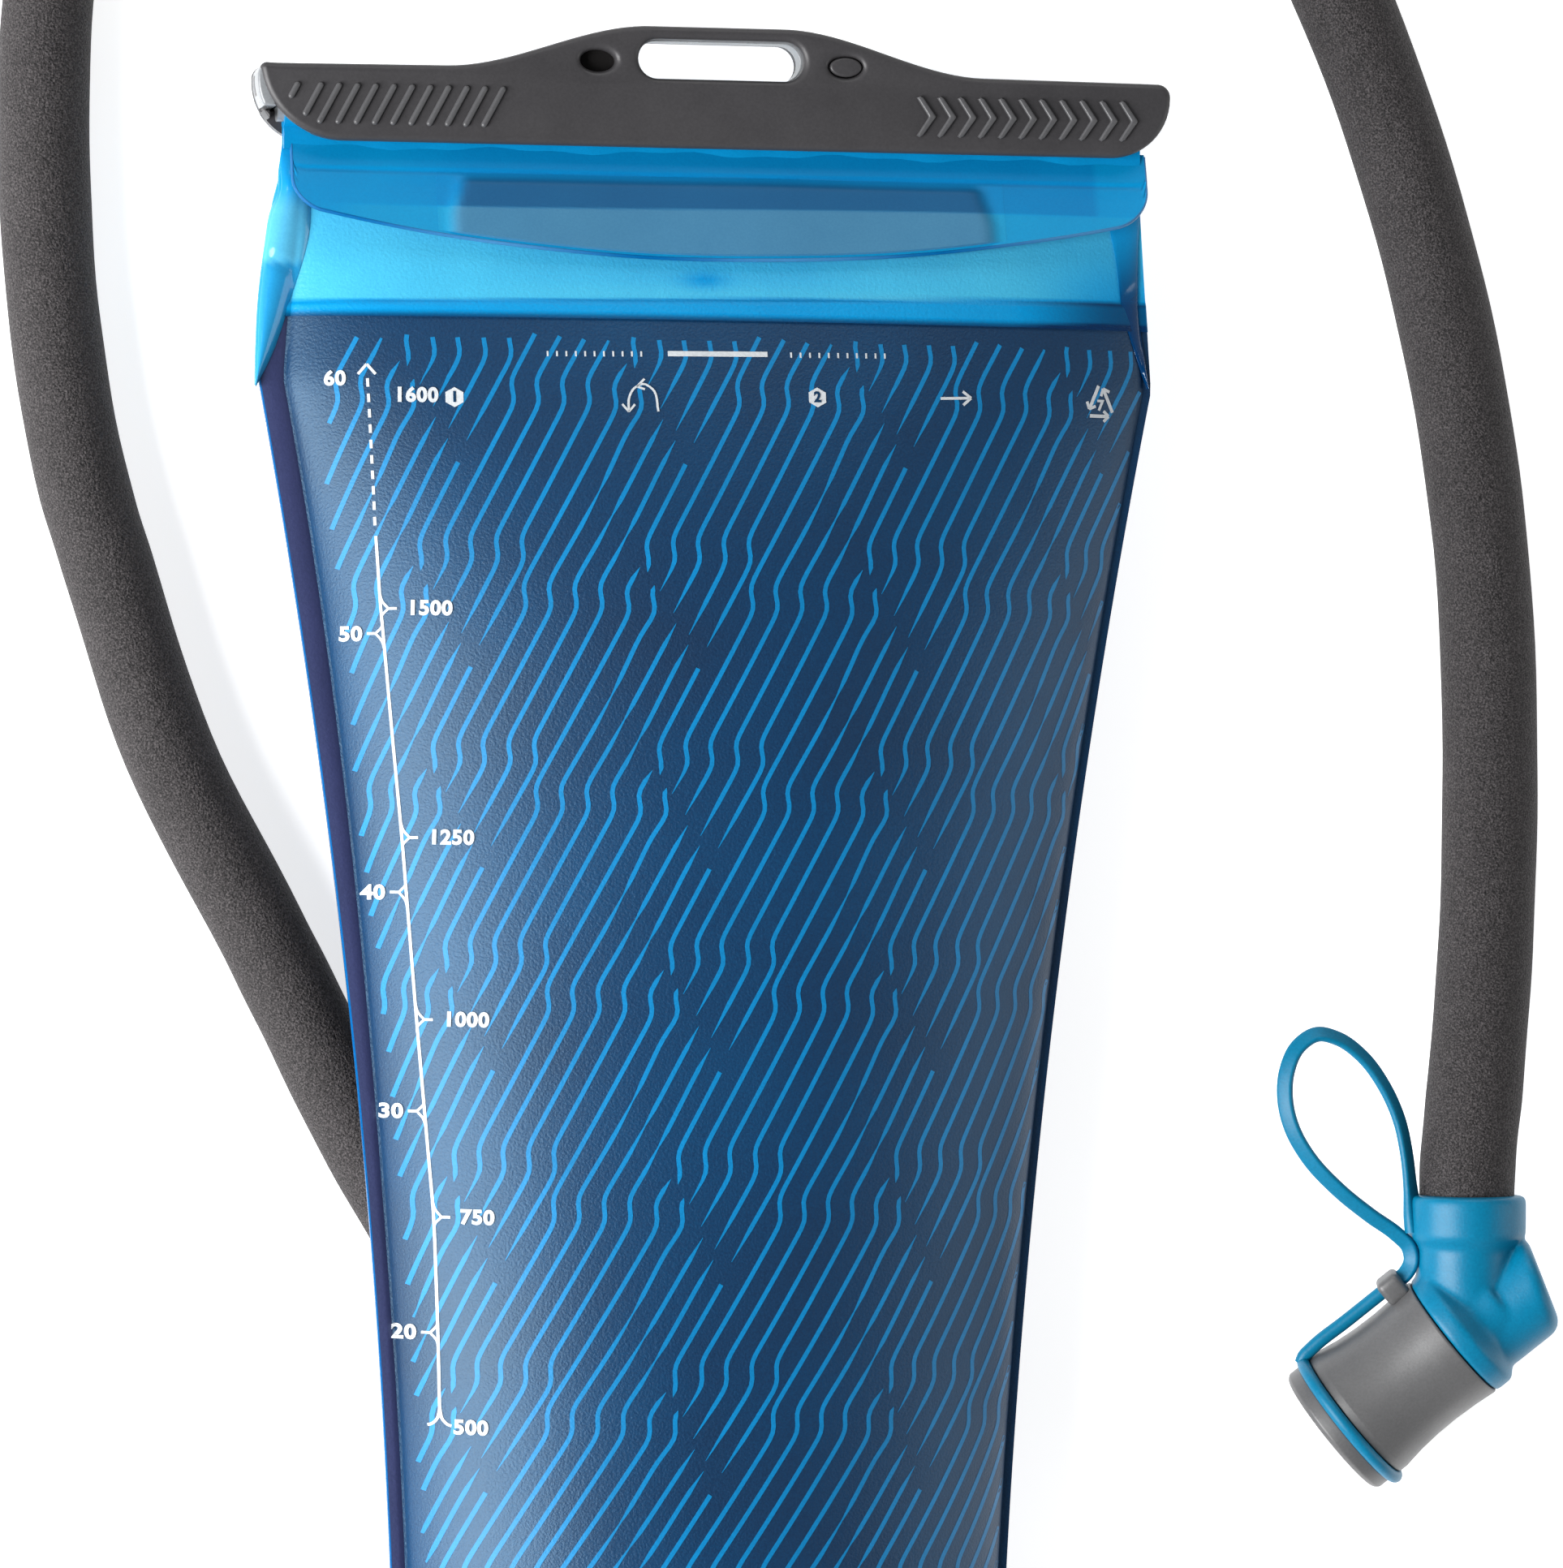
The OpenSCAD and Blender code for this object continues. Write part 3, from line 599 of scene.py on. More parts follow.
def make_hose(m):
    """The foam sleeve along the tube's route: the object's one cord."""
    path = smooth_path(TUBE_ROUTE, 8)
    steps = np.arange(len(path))
    on_right = smooth((path[:, 0] - 20) / 60)
    sizes = 0.994 + 0.006 * np.sin(steps * 0.9) + 0.004 * np.sin(steps * 0.37)
    sizes += SLEEVE_SWELL * on_right * smooth((path[:, 1] + 47) / 6)
    path[:, 2] += SLEEVE_SWELL * SLEEVE_R * on_right * smooth((path[:, 1] - 20) / 50)
    verts, faces = sweep(path, ellipse(SLEEVE_R, SLEEVE_R, 40), sizes=sizes)
    sleeve = add_piece("sleeve", verts, faces, m["sleeve"], "hose")
    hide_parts("insulation_sleeve")


# ---- The bag's film surfaces ----

BAG_BOTTOM, SHOULDER, PANEL_TOP, COLLAR_TOP = -183.0, 115.5, 127.0, 158.5
HALF_BOTTOM, HALF_TOP, HALF_MOUTH = 58.0, 86.5, 83.5
SEAM_Z, FILM_T = 25.0, 0.6
FRONT_BULGE, BACK_BULGE = 24.0, 29.0
FLANGE_R = 1.6
CORNER_R = 25.0
PORT = np.array([0.0, -130.0, 8.75])
PORT_PLATEAU = 20.0


def edge_half(y):
    """Half the width of the bag at a height, with rounded lower corners and a narrower neck."""
    y = np.asarray(y, float)
    t = (y - BAG_BOTTOM) / (SHOULDER - BAG_BOTTOM)
    d = np.clip(CORNER_R - (y - BAG_BOTTOM), 0, CORNER_R)
    body = HALF_BOTTOM + (HALF_TOP - HALF_BOTTOM) * t * t - (CORNER_R - np.sqrt(CORNER_R**2 - d * d))
    neck = HALF_TOP + (HALF_MOUTH - HALF_TOP) * (y - SHOULDER) / (COLLAR_TOP - SHOULDER)
    return np.where(y > SHOULDER, neck, body)


def flange(x, y):
    """Width of the welded edge. On the right the bag bulges out over it."""
    left = 3.3 + 1.9 * smooth((y + 60) / 160)
    return np.where(np.asarray(x) < 0, left, FLANGE_R)


def fullness(y):
    """How far the bag is filled at a height, from 0 at its lower weld and at the bar to 1."""
    t = np.clip((y - BAG_BOTTOM - 5) / 72, 0, 1)
    s = np.clip((COLLAR_TOP - y) / 100, 0, 1)
    return (1 - (1 - t) ** 2.4) ** 0.62 * np.sin(math.pi / 2 * s)


def crown(x, y):
    """How far the bag bulges across its width, from 0 at its welds to 1 on its middle line."""
    u = np.clip(np.abs(x) / (edge_half(y) - flange(x, y)), 0, 1)
    return (1 - u**2.3) ** 0.72


def ripple(x, y):
    """Slight unevenness of a filled bag: broad hollows, and folds that run down from the shoulders."""
    broad = 0.45 * np.sin(x / 27 + y / 95 + 0.6) * np.sin(y / 41 + 0.4)
    fine = 0.1 * np.sin(x / 13 - y / 36 + 1.7) * np.sin(y / 23 + x / 50)
    folds = 0.5 * np.sin(x / 6.5 + 0.04 * y) * smooth((y - 70) / 50) * smooth((np.abs(x) - 40) / 30)
    return (broad + fine + 0.5 * folds) * crown(x, y)


def front_z(x, y):
    """Upper face of the front film."""
    return SEAM_Z + FILM_T + FRONT_BULGE * fullness(y) * crown(x, y) + ripple(x, y) * fullness(y)


def relief(x, y):
    """The back is pressed in where the tube and its port lie under it."""
    a, b = np.array([-75.0, -6.0]), PORT[:2]
    ab = b - a
    t = np.clip(((x - a[0]) * ab[0] + (y - a[1]) * ab[1]) / (ab @ ab), 0, 1)
    along = np.hypot(x - a[0] - t * ab[0], y - a[1] - t * ab[1]) - 15
    round_port = np.hypot(x - b[0], y - b[1]) - 26
    rise = SEAM_Z - FILM_T - PORT_PLATEAU
    return rise + PORT_PLATEAU * smooth(np.minimum(along, round_port) / 20)


def back_z(x, y):
    """Upper face of the back film."""
    drop = BACK_BULGE * fullness(y) * crown(x, y)
    return SEAM_Z - np.minimum(np.minimum(SEAM_Z - FILM_T, drop), relief(x, y))


def row_places(y, cols):
    """Places across a row: columns on the welded edges, then columns that crowd towards the sides."""
    w = float(edge_half(y))
    left = -w + float(flange(-1, y))
    right = w - FLANGE_R
    t = np.linspace(-1, 1, cols)
    middle = (right + left) / 2 + (right - left) / 2 * (0.55 * np.sin(math.pi / 2 * t) + 0.45 * t)
    tuck = 1.3 * float(smooth((y - 146) / 10))
    on_left = [-w + tuck, -w + tuck + 0.3, -w + 1.6, left - 1.2, left - 0.45]
    return np.array(on_left + middle.tolist() + [w - 0.5, w])


def film_grid(ys, cols, height):
    """Rows of points on a film, from a function that gives its height."""
    rows = []
    for y in ys:
        xs = row_places(y, cols)
        rows.append(np.stack([xs, np.full_like(xs, y), height(xs, np.full_like(xs, y))], 1))
    return np.array(rows)


def weld_relief(x, y):
    """The left weld: a shallow groove beside the bag and a slight crown along the band."""
    inward = edge_half(y) - np.abs(x)
    width = flange(x, y)
    groove = -0.28 * np.exp(-(((inward - width + 0.35) / 0.3) ** 2))
    band = 0.12 * np.sin(np.clip(inward / width, 0, 1) * math.pi)
    return np.where(x < 0, groove + band, 0)


def panel_rows():
    """Heights of the panels' rows, close together at the two ends."""
    return np.unique(np.concatenate([
        BAG_BOTTOM + np.array([0, 0.4, 1.2, 2.5, 4]), np.arange(-178, 125, 2.4),
        [124.6, 125.6, 126.4, PANEL_TOP],
    ]))


def make_panels(m):
    """The printed front and back of the bag. A weld runs down the left edge of the front."""
    ys = panel_rows()
    upper = film_grid(ys, 150, lambda x, y: front_z(x, y) + weld_relief(x, y))
    lower = upper - [0, 0, FILM_T]
    verts, faces = sheet(upper, lower)
    front = add_piece(
        "front_film", verts, faces, [m["print"], m["weld"], m["edge"]], "bladder"
    )
    for face in front.data.polygons:
        x, y, _ = np.array(face.center) / MM
        inward = float(edge_half(y)) - abs(x)
        if x < 0 and inward < float(flange(x, y)) - 0.45:
            face.material_index = 2 if inward < 0.45 else 1
    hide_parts("front_panel")

    lower = film_grid(ys, 80, lambda x, y: back_z(x, y) - FILM_T)
    upper = lower + [0, 0, FILM_T]
    verts, faces = sheet(upper, lower)
    back = add_piece("back_film", verts, faces, [m["print"]], "bladder")
    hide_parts("back_panel")


def make_collar(m):
    """The clear film between the print and the bar. Its lowest 5 mm is doubled by a weld."""
    band_top = 131.0
    ys = np.unique(np.concatenate([
        np.arange(PANEL_TOP, band_top - 0.6, 0.5), [band_top - 0.4, band_top, band_top + 0.3],
        np.arange(band_top + 1, COLLAR_TOP, 1.0), [COLLAR_TOP],
    ]))

    def height(x, y):
        step = 0.4 * (1 - smooth((y - band_top + 0.4 - x * 0.016) / 0.5))
        sag = 0.6 * np.sin(x / 21 + 0.5) * np.sin((y - PANEL_TOP) / 9) * fullness(y)
        return front_z(x, y) + step + sag

    upper = film_grid(ys, 110, height)
    lower = upper - [0, 0, FILM_T]
    verts, faces = sheet(upper, lower)
    x, y = verts[:, 0], verts[:, 1]
    in_band = 1 - smooth((y - band_top - x * 0.016) / 0.5)
    root = 1 - smooth((y - PANEL_TOP) / 1.6)
    line = np.exp(-(((y - band_top - x * 0.016) / 0.35) ** 2))
    # Painted shade: the collar's lower right part is darkened, where the bag turns away from the light.
    right = smooth((x - 55) / 25) * smooth((150 - y) / 20)
    # Painted shade: a soft dark spot in the middle of the collar, where the back film folds behind it.
    fold_shade = 0.4 * np.exp(-(((x + 2.7) / 4) ** 2) - ((y - 134.7) / 1.6) ** 2)
    shade = 0.16 * np.exp(-((x / 34) ** 2)) * smooth((y - 132) / 3)
    tone = np.clip(0.46 * in_band + 0.5 * root + 0.16 * line + 0.45 * right + fold_shade + shade, 0, 1)
    front = add_piece("collar_front", verts, faces, m["collar"], "bladder", tone)
    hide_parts("mouth_collar_front")

    lower = film_grid(ys, 60, lambda x, y: back_z(x, y) - FILM_T)
    verts, faces = sheet(lower + [0, 0, FILM_T], lower)
    tone = np.full(len(verts), 0.2)
    back = add_piece("collar_back", verts, faces, m["collar"], "bladder", tone)
    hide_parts("mouth_collar_back")


# Side gussets: the outer edge and the inner fold of each, from the bar down to the tip
GUSSET_L = (
    [(-82.3, 159.5), (-83.0, 154), (-83.2, 150.5), (-84.6, 146.4), (-85.5, 140.6), (-86.2, 135.2),
     (-86.8, 129), (-87.1, 122), (-87.3, 114)],
    [(-77.2, 159.5), (-77.0, 154), (-76.9, 149), (-77.1, 143.5), (-78.3, 137.8), (-80.2, 131.4),
     (-82.2, 124.5), (-84.2, 119), (-87.0, 113.4)],
)
GUSSET_R = (
    [(84.7, 159.5), (84.5, 154), (84.1, 149.6), (83.8, 144), (83.8, 138), (83.9, 131.6),
     (84.6, 125.3), (85.4, 120.6), (86.0, 116.2)],
    [(77.0, 159.5), (77.2, 154), (77.8, 147), (79.0, 141), (79.8, 134.5), (80.2, 130.5),
     (81.8, 125.9), (83.4, 121.5), (85.6, 116.0)],
)


def make_gusset(name, outer, inner, m, heights, tones, dark_from, dark_over):
    """A fold of film that stands proud between its outer edge and its inner fold. It darkens downwards."""
    outer = smooth_path([(x, y, 0) for x, y in outer], 6)
    inner = smooth_path([(x, y, 0) for x, y in inner], 6)
    rows = []
    across = np.linspace(0, 1, 17)
    for i, (a, b) in enumerate(zip(outer, inner, strict=True)):
        down = i / (len(outer) - 1)
        points = a[None] * (1 - across[:, None]) + b[None] * across[:, None]
        lift = (heights[0] * (1 - down) + heights[1] * down) * float(smooth(down / 0.2))
        crease = 1 - 0.25 * math.exp(-(((down - 0.55) / 0.02) ** 2))
        arch = lift * np.sin(math.pi * across**0.8) ** 0.75 * crease
        ground = front_z(np.clip(points[:, 0], -edge_half(a[1]), edge_half(a[1])), points[:, 1])
        base = np.maximum(ground, SEAM_Z + FILM_T) + 0.15
        points[:, 2] = base * across + (SEAM_Z + FILM_T + 0.1) * (1 - across) + arch
        rows.append(points)
    upper = np.array(rows)
    verts, faces = sheet(upper, upper - [0, 0, 0.5])
    tone = tones[0] + (tones[1] - tones[0]) * smooth((dark_from - verts[:, 1]) / dark_over)
    tone = np.maximum(tone, 0.5 * smooth((verts[:, 1] - 146) / 6))
    add_piece(name, verts, faces, m["gusset"], "bladder", tone)


# ---- The mouth, folded over its rail ----

FOLD_Y, FOLD_Z = 166.0, SEAM_Z + FILM_T + 0.5
FLAP_TILT = math.radians(20.8)
RAIL_R, LEG_T, GAP_T = 2.4, 1.2, 1.0


def make_fold(m):
    """Film that runs up, round the rail and down again, seen from the end as one strip."""
    r = RAIL_R + 0.02
    turn = np.radians(np.linspace(-168, 168, 33))
    leg = GAP_T / 2
    inner = (
        [(COLLAR_TOP, FOLD_Z - leg)]
        + [(FOLD_Y + r * math.cos(a + math.pi), FOLD_Z + r * math.sin(a)) for a in turn]
        + [(COLLAR_TOP, FOLD_Z + leg)]
    )
    outer = (
        [(COLLAR_TOP, FOLD_Z - leg - LEG_T)]
        + [(FOLD_Y + (r + LEG_T) * math.cos(a), FOLD_Z + (r + LEG_T) * math.sin(a)) for a in turn * 0.93]
        + [(COLLAR_TOP, FOLD_Z + leg + LEG_T)]
    )
    xs = np.linspace(1.3 - HALF_MOUTH, HALF_MOUTH, 60)
    wave = 0.12 * np.sin(xs / 5.3) + 0.08 * np.sin(xs / 2.1)

    def grid(line):
        places = zip(xs, wave, strict=True)
        return np.array([[(x, y, z + w * (y < FOLD_Y - 3)) for y, z in line] for x, w in places])

    verts, faces = sheet(grid(outer), grid(inner))
    tone = np.full(len(verts), 0.3)
    fold = add_piece("folded_mouth", verts, faces, m["flap"], "bladder", tone)
    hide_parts("mouth_fold")


def on_flap(x, down, lift):
    """A point on the flap: across, down along it from its top, and out from it."""
    y = COLLAR_TOP - down * math.cos(FLAP_TILT) + lift * math.sin(FLAP_TILT)
    z = FOLD_Z + GAP_T / 2 + down * math.sin(FLAP_TILT) + lift * math.cos(FLAP_TILT)
    return np.stack([x, y, z], -1)


FLAP_LEFT, FLAP_RIGHT = -80.7, 84.4
FLAP_CORNER_L, FLAP_CORNER_R = 5.4, 6.4


def flap_columns(spread):
    """Places across the flap for a spread that runs from -1 to 1."""
    return (FLAP_LEFT + FLAP_RIGHT) / 2 + (FLAP_RIGHT - FLAP_LEFT) / 2 * spread


def flap_drop(x):
    """How far down the flap its lower edge is."""
    lower = 138.4 + 8.8 * np.abs((x - 1.5) / 80) ** 2
    drop = (COLLAR_TOP - lower) / math.cos(FLAP_TILT)
    left = np.clip((FLAP_LEFT + FLAP_CORNER_L - x) / FLAP_CORNER_L, 0, 1)
    right = np.clip((x - FLAP_RIGHT + FLAP_CORNER_R) / FLAP_CORNER_R, 0, 1)
    cut = FLAP_CORNER_L * (1 - np.sqrt(1 - left**2)) + FLAP_CORNER_R * (1 - np.sqrt(1 - right**2))
    return drop - 0.95 * cut


def flap_wave(x, down):
    """The flap's own slight unevenness, and the crease along it near the bar."""
    crease = -0.16 * np.exp(-(((down - 4.6) / 0.35) ** 2)) + 0.1 * smooth((4.4 - down) / 0.6)
    return crease + (0.22 * np.sin(x / 17 + 1) + 0.12 * np.sin(x / 7.3)) * smooth(down / 8)


def below_step(verts):
    """1 on the lower part of the flap, which is one film, and 0 above it, where it is two."""
    return smooth((148.6 - verts[:, 1] + 0.4 * np.sin(verts[:, 0] / 30)) / 0.5)


def make_flap(m):
    t = np.linspace(-1, 1, 180)
    xs = flap_columns(0.6 * t + 0.4 * np.sin(math.pi / 2 * t))
    share = np.linspace(0, 1, 60)
    x, s = np.meshgrid(xs, share)
    down = -2.2 + (flap_drop(x) + 2.2) * s
    upper = on_flap(x, down, LEG_T + flap_wave(x, down))
    lower = on_flap(x, down, 0.05 + flap_wave(x, down) * 0.5)
    verts, faces = sheet(upper, lower)
    pale = below_step(verts) * smooth((verts[:, 0] + 79) / 14)
    # Painted shade: the flap's colour darkens in a thin line along its crease near the bar.
    crease = np.exp(-(((verts[:, 1] - 154.6) / 0.4) ** 2))
    left = smooth((-44 - verts[:, 0]) / 20) + 1.2 * smooth((verts[:, 0] - 73.5) / 1.5)
    tone = np.clip(0.1 + 0.6 * pale - 0.1 * crease + 0.26 * left * (1 - pale), 0, 1)
    flap = add_piece("flap", verts, faces, m["flap"], "bladder", tone)
    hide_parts("mouth_flap")
    make_flap_bead(m)
    make_tab(m)


def make_flap_bead(m):
    """The rounded welded rim of the flap: down its left side, along its lower edge and up the right."""
    t = np.linspace(-1, 1, 160)
    xs = flap_columns(np.sin(math.pi / 2 * t))
    low = [(x, float(flap_drop(x))) for x in xs]
    top_l, top_r = low[0][1], low[-1][1]
    left = [(FLAP_LEFT, -1.8 + (top_l + 1.8) * k / 6) for k in range(6)]
    right = [(FLAP_RIGHT, top_r - (top_r + 1.8) * k / 6) for k in range(1, 7)]
    line = np.array(left + low + right)
    path = on_flap(line[:, 0], line[:, 1], 0.62 + flap_wave(line[:, 0], line[:, 1]))
    verts, faces = sweep(path, ellipse(0.36, 0.62, 12), side=(0, 0.3, 1))
    tone = np.clip(0.5 + 0.5 * np.sin(verts[:, 0] / 9), 0, 1)
    add_piece("flap_bead", verts, faces, m["bead"], "bladder", tone)


TAB_LEFT, TAB_RIGHT, TAB_TOP = -52.5, 55.0, 4.6


def make_tab(m):
    """The frosted patch on the flap, with soft shoulders at its sides and top."""
    xs = np.linspace(TAB_LEFT - 1, TAB_RIGHT + 1, 120)
    share = np.linspace(0, 1, 44)
    x, s = np.meshgrid(xs, share)
    low = flap_drop(x) - 0.5
    down = TAB_TOP + (low - TAB_TOP) * s
    slope = 2.2 * smooth(1 - s * 1.2)
    inset = np.minimum(x - TAB_LEFT - slope, TAB_RIGHT - slope - x)
    corner = smooth(inset / 3.4) * smooth((down - TAB_TOP - 0.1) / 2.6)
    upper = on_flap(x, down, LEG_T + 0.03 + 0.85 * corner + flap_wave(x, down))
    lower = on_flap(x, down, LEG_T - 0.3 + flap_wave(x, down))
    verts, faces = sheet(upper, lower)
    pale = below_step(verts)
    fade = np.concatenate([corner.ravel(), corner.ravel()])
    # Painted highlight: the tab's soft left shoulders are made paler, where the light from the left catches
    # them.
    slope = 4 * fade * (1 - fade) * smooth((152 - verts[:, 1]) / 5) * smooth((20 - verts[:, 0]) / 30)
    tone = np.clip(0.12 + 0.75 * pale + 0.5 * slope, 0, 1)
    tab = add_piece("frosted_tab", verts, faces, m["frosted"], "bladder", tone, fade)
    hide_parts("pull_tab")


# ---- Print on the front: strokes, scale and marks ----


class FrontMap:
    """Turns places measured along the film, from its middle line, into places across the bag."""

    def __init__(self):
        self.ys = np.arange(BAG_BOTTOM, PANEL_TOP + 1, 2.0)
        self.us = np.linspace(-1, 1, 241)
        self.arc = []
        for y in self.ys:
            xs = self.us * edge_half(y)
            zs = front_z(xs, np.full_like(xs, y))
            run = np.concatenate([[0], np.cumsum(np.hypot(np.diff(xs), np.diff(zs)))])
            self.arc.append(run - np.interp(0, xs, run))
        self.arc = np.array(self.arc)

    def across(self, s, y):
        """The place x on the bag of film coordinate s."""
        out = np.empty(len(s))
        rows = np.clip((np.asarray(y) - self.ys[0]) / 2.0, 0, len(self.ys) - 1.001)
        for k, (a, row) in enumerate(zip(s, rows, strict=True)):
            i, f = int(row), row - int(row)
            line = self.arc[i] * (1 - f) + self.arc[i + 1] * f
            out[k] = np.interp(a, line, self.us)
        return out * edge_half(y)


def ribbon(centre, half, lift, thick=0.12):
    """Points and faces of a printed line on the front film. centre is its (x, y) line on the bag."""
    centre = np.asarray(centre, float)
    ahead = np.gradient(centre, axis=0)
    ahead /= np.maximum(np.linalg.norm(ahead, axis=1), 1e-6)[:, None]
    across = np.stack([-ahead[:, 1], ahead[:, 0]], 1)
    half = np.broadcast_to(np.asarray(half, float), (len(centre),))[:, None]
    rails = [centre + across * half, centre - across * half]
    rings = []
    for rail, depth in ((rails[0], -thick), (rails[0], lift), (rails[1], lift), (rails[1], -thick)):
        rings.append(np.column_stack([rail, front_z(rail[:, 0], rail[:, 1]) + depth]))
    verts = np.stack(rings, 1).reshape(-1, 3)
    n = len(centre)
    faces = strips(n, 4, closed=True) + [(0, 1, 2, 3), tuple(4 * (n - 1) + k for k in range(4))]
    return verts, faces


def gather(parts):
    """Points and faces of many parts as one list each."""
    verts, faces, start = [], [], 0
    for v, f in parts:
        verts.append(v)
        faces += [tuple(i + start for i in face) for face in f]
        start += len(v)
    return np.concatenate(verts), faces


# One repeat of the print, in millimetres along and down the film from its first bend. K is a bend of
# the line: it comes in from the upper right, swings to the right and goes on down to the left. W is a
# place where the line has its full width, T one where it is thin, and E an end, drawn out to a point.
STROKES = [
    [("E", -0.93, 4.1), ("W", -2.6, 6.6), ("K", -3.6, 8.2), ("K", -20.5, 46.2), ("K", -32.9, 76.0),
     ("E", -35.2, 86.0)],
    [("E", 1.76, 7.5), ("K", 1.25, 8.4), ("W", -1.0, 17), ("W", -4.6, 25), ("T", -6.2, 28.4),
     ("W", -9.6, 35), ("K", -15.8, 46.2), ("K", -28.2, 76.0), ("E", -32.7, 90.1)],
    [("E", 5.8, 14.7), ("W", 3.5, 18.9), ("W", -2.2, 30), ("T", -3.8, 33), ("W", -6.6, 38.4),
     ("K", -11.0, 46.2), ("K", -23.3, 76.0), ("E", -29.8, 94.2)],
    [("E", 8.1, 18.7), ("W", 5.8, 22.8), ("W", 0.4, 34), ("T", -1.2, 37), ("W", -3.4, 41.4),
     ("K", -6.2, 46.2), ("K", -18.5, 76.0), ("E", -26.4, 96.5)],
    [("W", 10.0, 23.2), ("K", 2.55, 38.0), ("E", 2.9, 43.7)],
]
BEND = [(0, 0), (0.05, 0.8), (0.25, 2.0), (0.62, 3.2), (0.86, 4.1)]
REPEAT_X = (42.83, 0.0)
REPEAT_Y = (2.41, 38.7)
PRINT_START = (-16.2, 83.9)
STROKE_HALF = 0.43
PRINT_TOP, PRINT_LOW = 124.2, -171.0


def stroke_line(stroke):
    """The centre line of one stroke and its half width along it."""
    points, widths = [], []
    for i, (kind, x, y) in enumerate(stroke):
        if kind == "K":
            last = i == len(stroke) - 1
            for dx, dy in BEND:
                points.append((x + dx, y + dy))
                widths.append(STROKE_HALF)
            if last:
                widths[-1] = 0.05
        else:
            points.append((x, y))
            widths.append({"W": STROKE_HALF, "T": 0.14, "E": 0.04}[kind])
    dense, half = [], []
    for (a, b), (wa, wb) in zip(
        zip(points, points[1:], strict=False), zip(widths, widths[1:], strict=False), strict=True
    ):
        a, b = np.array(a), np.array(b)
        run = np.linalg.norm(b - a)
        steps = max(1, int(run / 1.6))
        for k in range(steps):
            t = k / steps
            dense.append(a + (b - a) * t)
            # a stroke keeps its width until a few millimetres before it tapers
            taper = t if max(wa, wb) < 0.2 or run < 4 else min(1, max(0, (t * run) / min(run, 7)))
            if wb < wa:
                back = min(run, 7)
                taper = min(1, max(0, (t * run - (run - back)) / back))
            half.append(wa + (wb - wa) * taper)
    dense.append(np.array(points[-1]))
    half.append(widths[-1])
    line = np.array(dense)
    for _ in range(2):
        line[1:-1] = 0.25 * line[:-2] + 0.5 * line[1:-1] + 0.25 * line[2:]
    return line, np.array(half)


def wander(y):
    """How far the print strays from an even repeat at a height, to the right and upwards."""
    right = 0.03 * np.maximum(0, y - 80) - 0.0008 * np.maximum(0, -6 - y) ** 2
    return right, 2.1 * np.exp(-(((y + 9) / 50) ** 2))


def print_edges(y):
    """Left and right limits of the print on the bag."""
    margin = 5.6 + 2.2 * smooth((y - 30) / 40) + 5.2 * smooth((y - 88) / 34)
    return -edge_half(y) + margin, edge_half(y) - 2.2


def make_strokes(m, film_map):
    """The repeated strokes of the print, cut off at its edges."""
    parts = []
    shapes = [stroke_line(stroke) for stroke in STROKES]
    for row in range(-3, 9):
        for column in range(-5, 6):
            shift_x = PRINT_START[0] + column * REPEAT_X[0] + row * REPEAT_Y[0]
            shift_y = PRINT_START[1] - row * REPEAT_Y[1]
            for line, half in shapes:
                right, up = wander(shift_y - line[:, 1])
                s, y = line[:, 0] + shift_x + right, shift_y - line[:, 1] + up
                if y.max() < PRINT_LOW or y.min() > PRINT_TOP or abs(s).min() > 105:
                    continue
                x = film_map.across(s, np.clip(y, BAG_BOTTOM, PANEL_TOP))
                left, right = print_edges(y)
                inside = (y < PRINT_TOP) & (y > PRINT_LOW) & (x > left) & (x < right) & (abs(s) < 100)
                starts = np.flatnonzero(np.diff(np.concatenate([[0], inside.view(np.int8), [0]])) == 1)
                ends = np.flatnonzero(np.diff(np.concatenate([[0], inside.view(np.int8), [0]])) == -1)
                for a, b in zip(starts, ends, strict=True):
                    if b - a >= 3:
                        parts.append(ribbon(np.column_stack([x, y])[a:b], half[a:b], 0.05))
    verts, faces = gather(parts)
    add_piece("print_strokes", verts, faces, m["cyan_ink"], "bladder")


def number(text, x, y, height, turn=0.0, lift=0.26):
    """Points and faces of digits that stand centred on a place on the front film."""
    curve = bpy.data.curves.new("digits", "FONT")
    curve.body = text
    curve.size = height / 0.73
    curve.align_x, curve.align_y = "CENTER", "CENTER"
    curve.offset = 0.055 * height
    curve.space_character = 1.08
    curve.resolution_u = 4
    curve.extrude = 0.5
    source = bpy.data.objects.new("digits", curve)
    bpy.context.scene.collection.objects.link(source)
    mesh = to_mesh(source, "digits")
    flat = np.array([v.co for v in mesh.vertices])
    faces = [tuple(p.vertices) for p in mesh.polygons]
    c, s = math.cos(turn), math.sin(turn)
    px, py = x + flat[:, 0] * c - flat[:, 1] * s, y + flat[:, 0] * s + flat[:, 1] * c
    lift = np.where(flat[:, 2] > 0, lift, -0.1)
    return np.column_stack([px, py, front_z(px, py) + lift]), faces


def line_mark(points, half=0.26, lift=0.14):
    """A printed line through a few places, smooth and with small steps."""
    path = smooth_path([(x, y, 0) for x, y in points], 8)[:, :2]
    return ribbon(path, half, lift)


# The scale's line down the bag, and its marks: volume on the right, ounces on the left
SCALE = [
    (-66.9, 117.7), (-65.4, 88), (-64.3, 73), (-62.0, 50), (-59.8, 28.7), (-56.8, -5.2), (-53.3, -42.6),
    (-52.4, -62), (-51.8, -79.5),
]
RIGHT_MARKS = [("1500", 71.9), ("1250", 28.9), ("1000", -5.3), ("750", -42.4)]
LEFT_MARKS = [("50", 67.2), ("40", 18.6), ("30", -22.6), ("20", -64.3)]


def scale_x(y):
    """Where the scale's line is at a height."""
    ys = [p[1] for p in SCALE][::-1]
    return float(np.interp(y, ys, [p[0] for p in SCALE][::-1]))


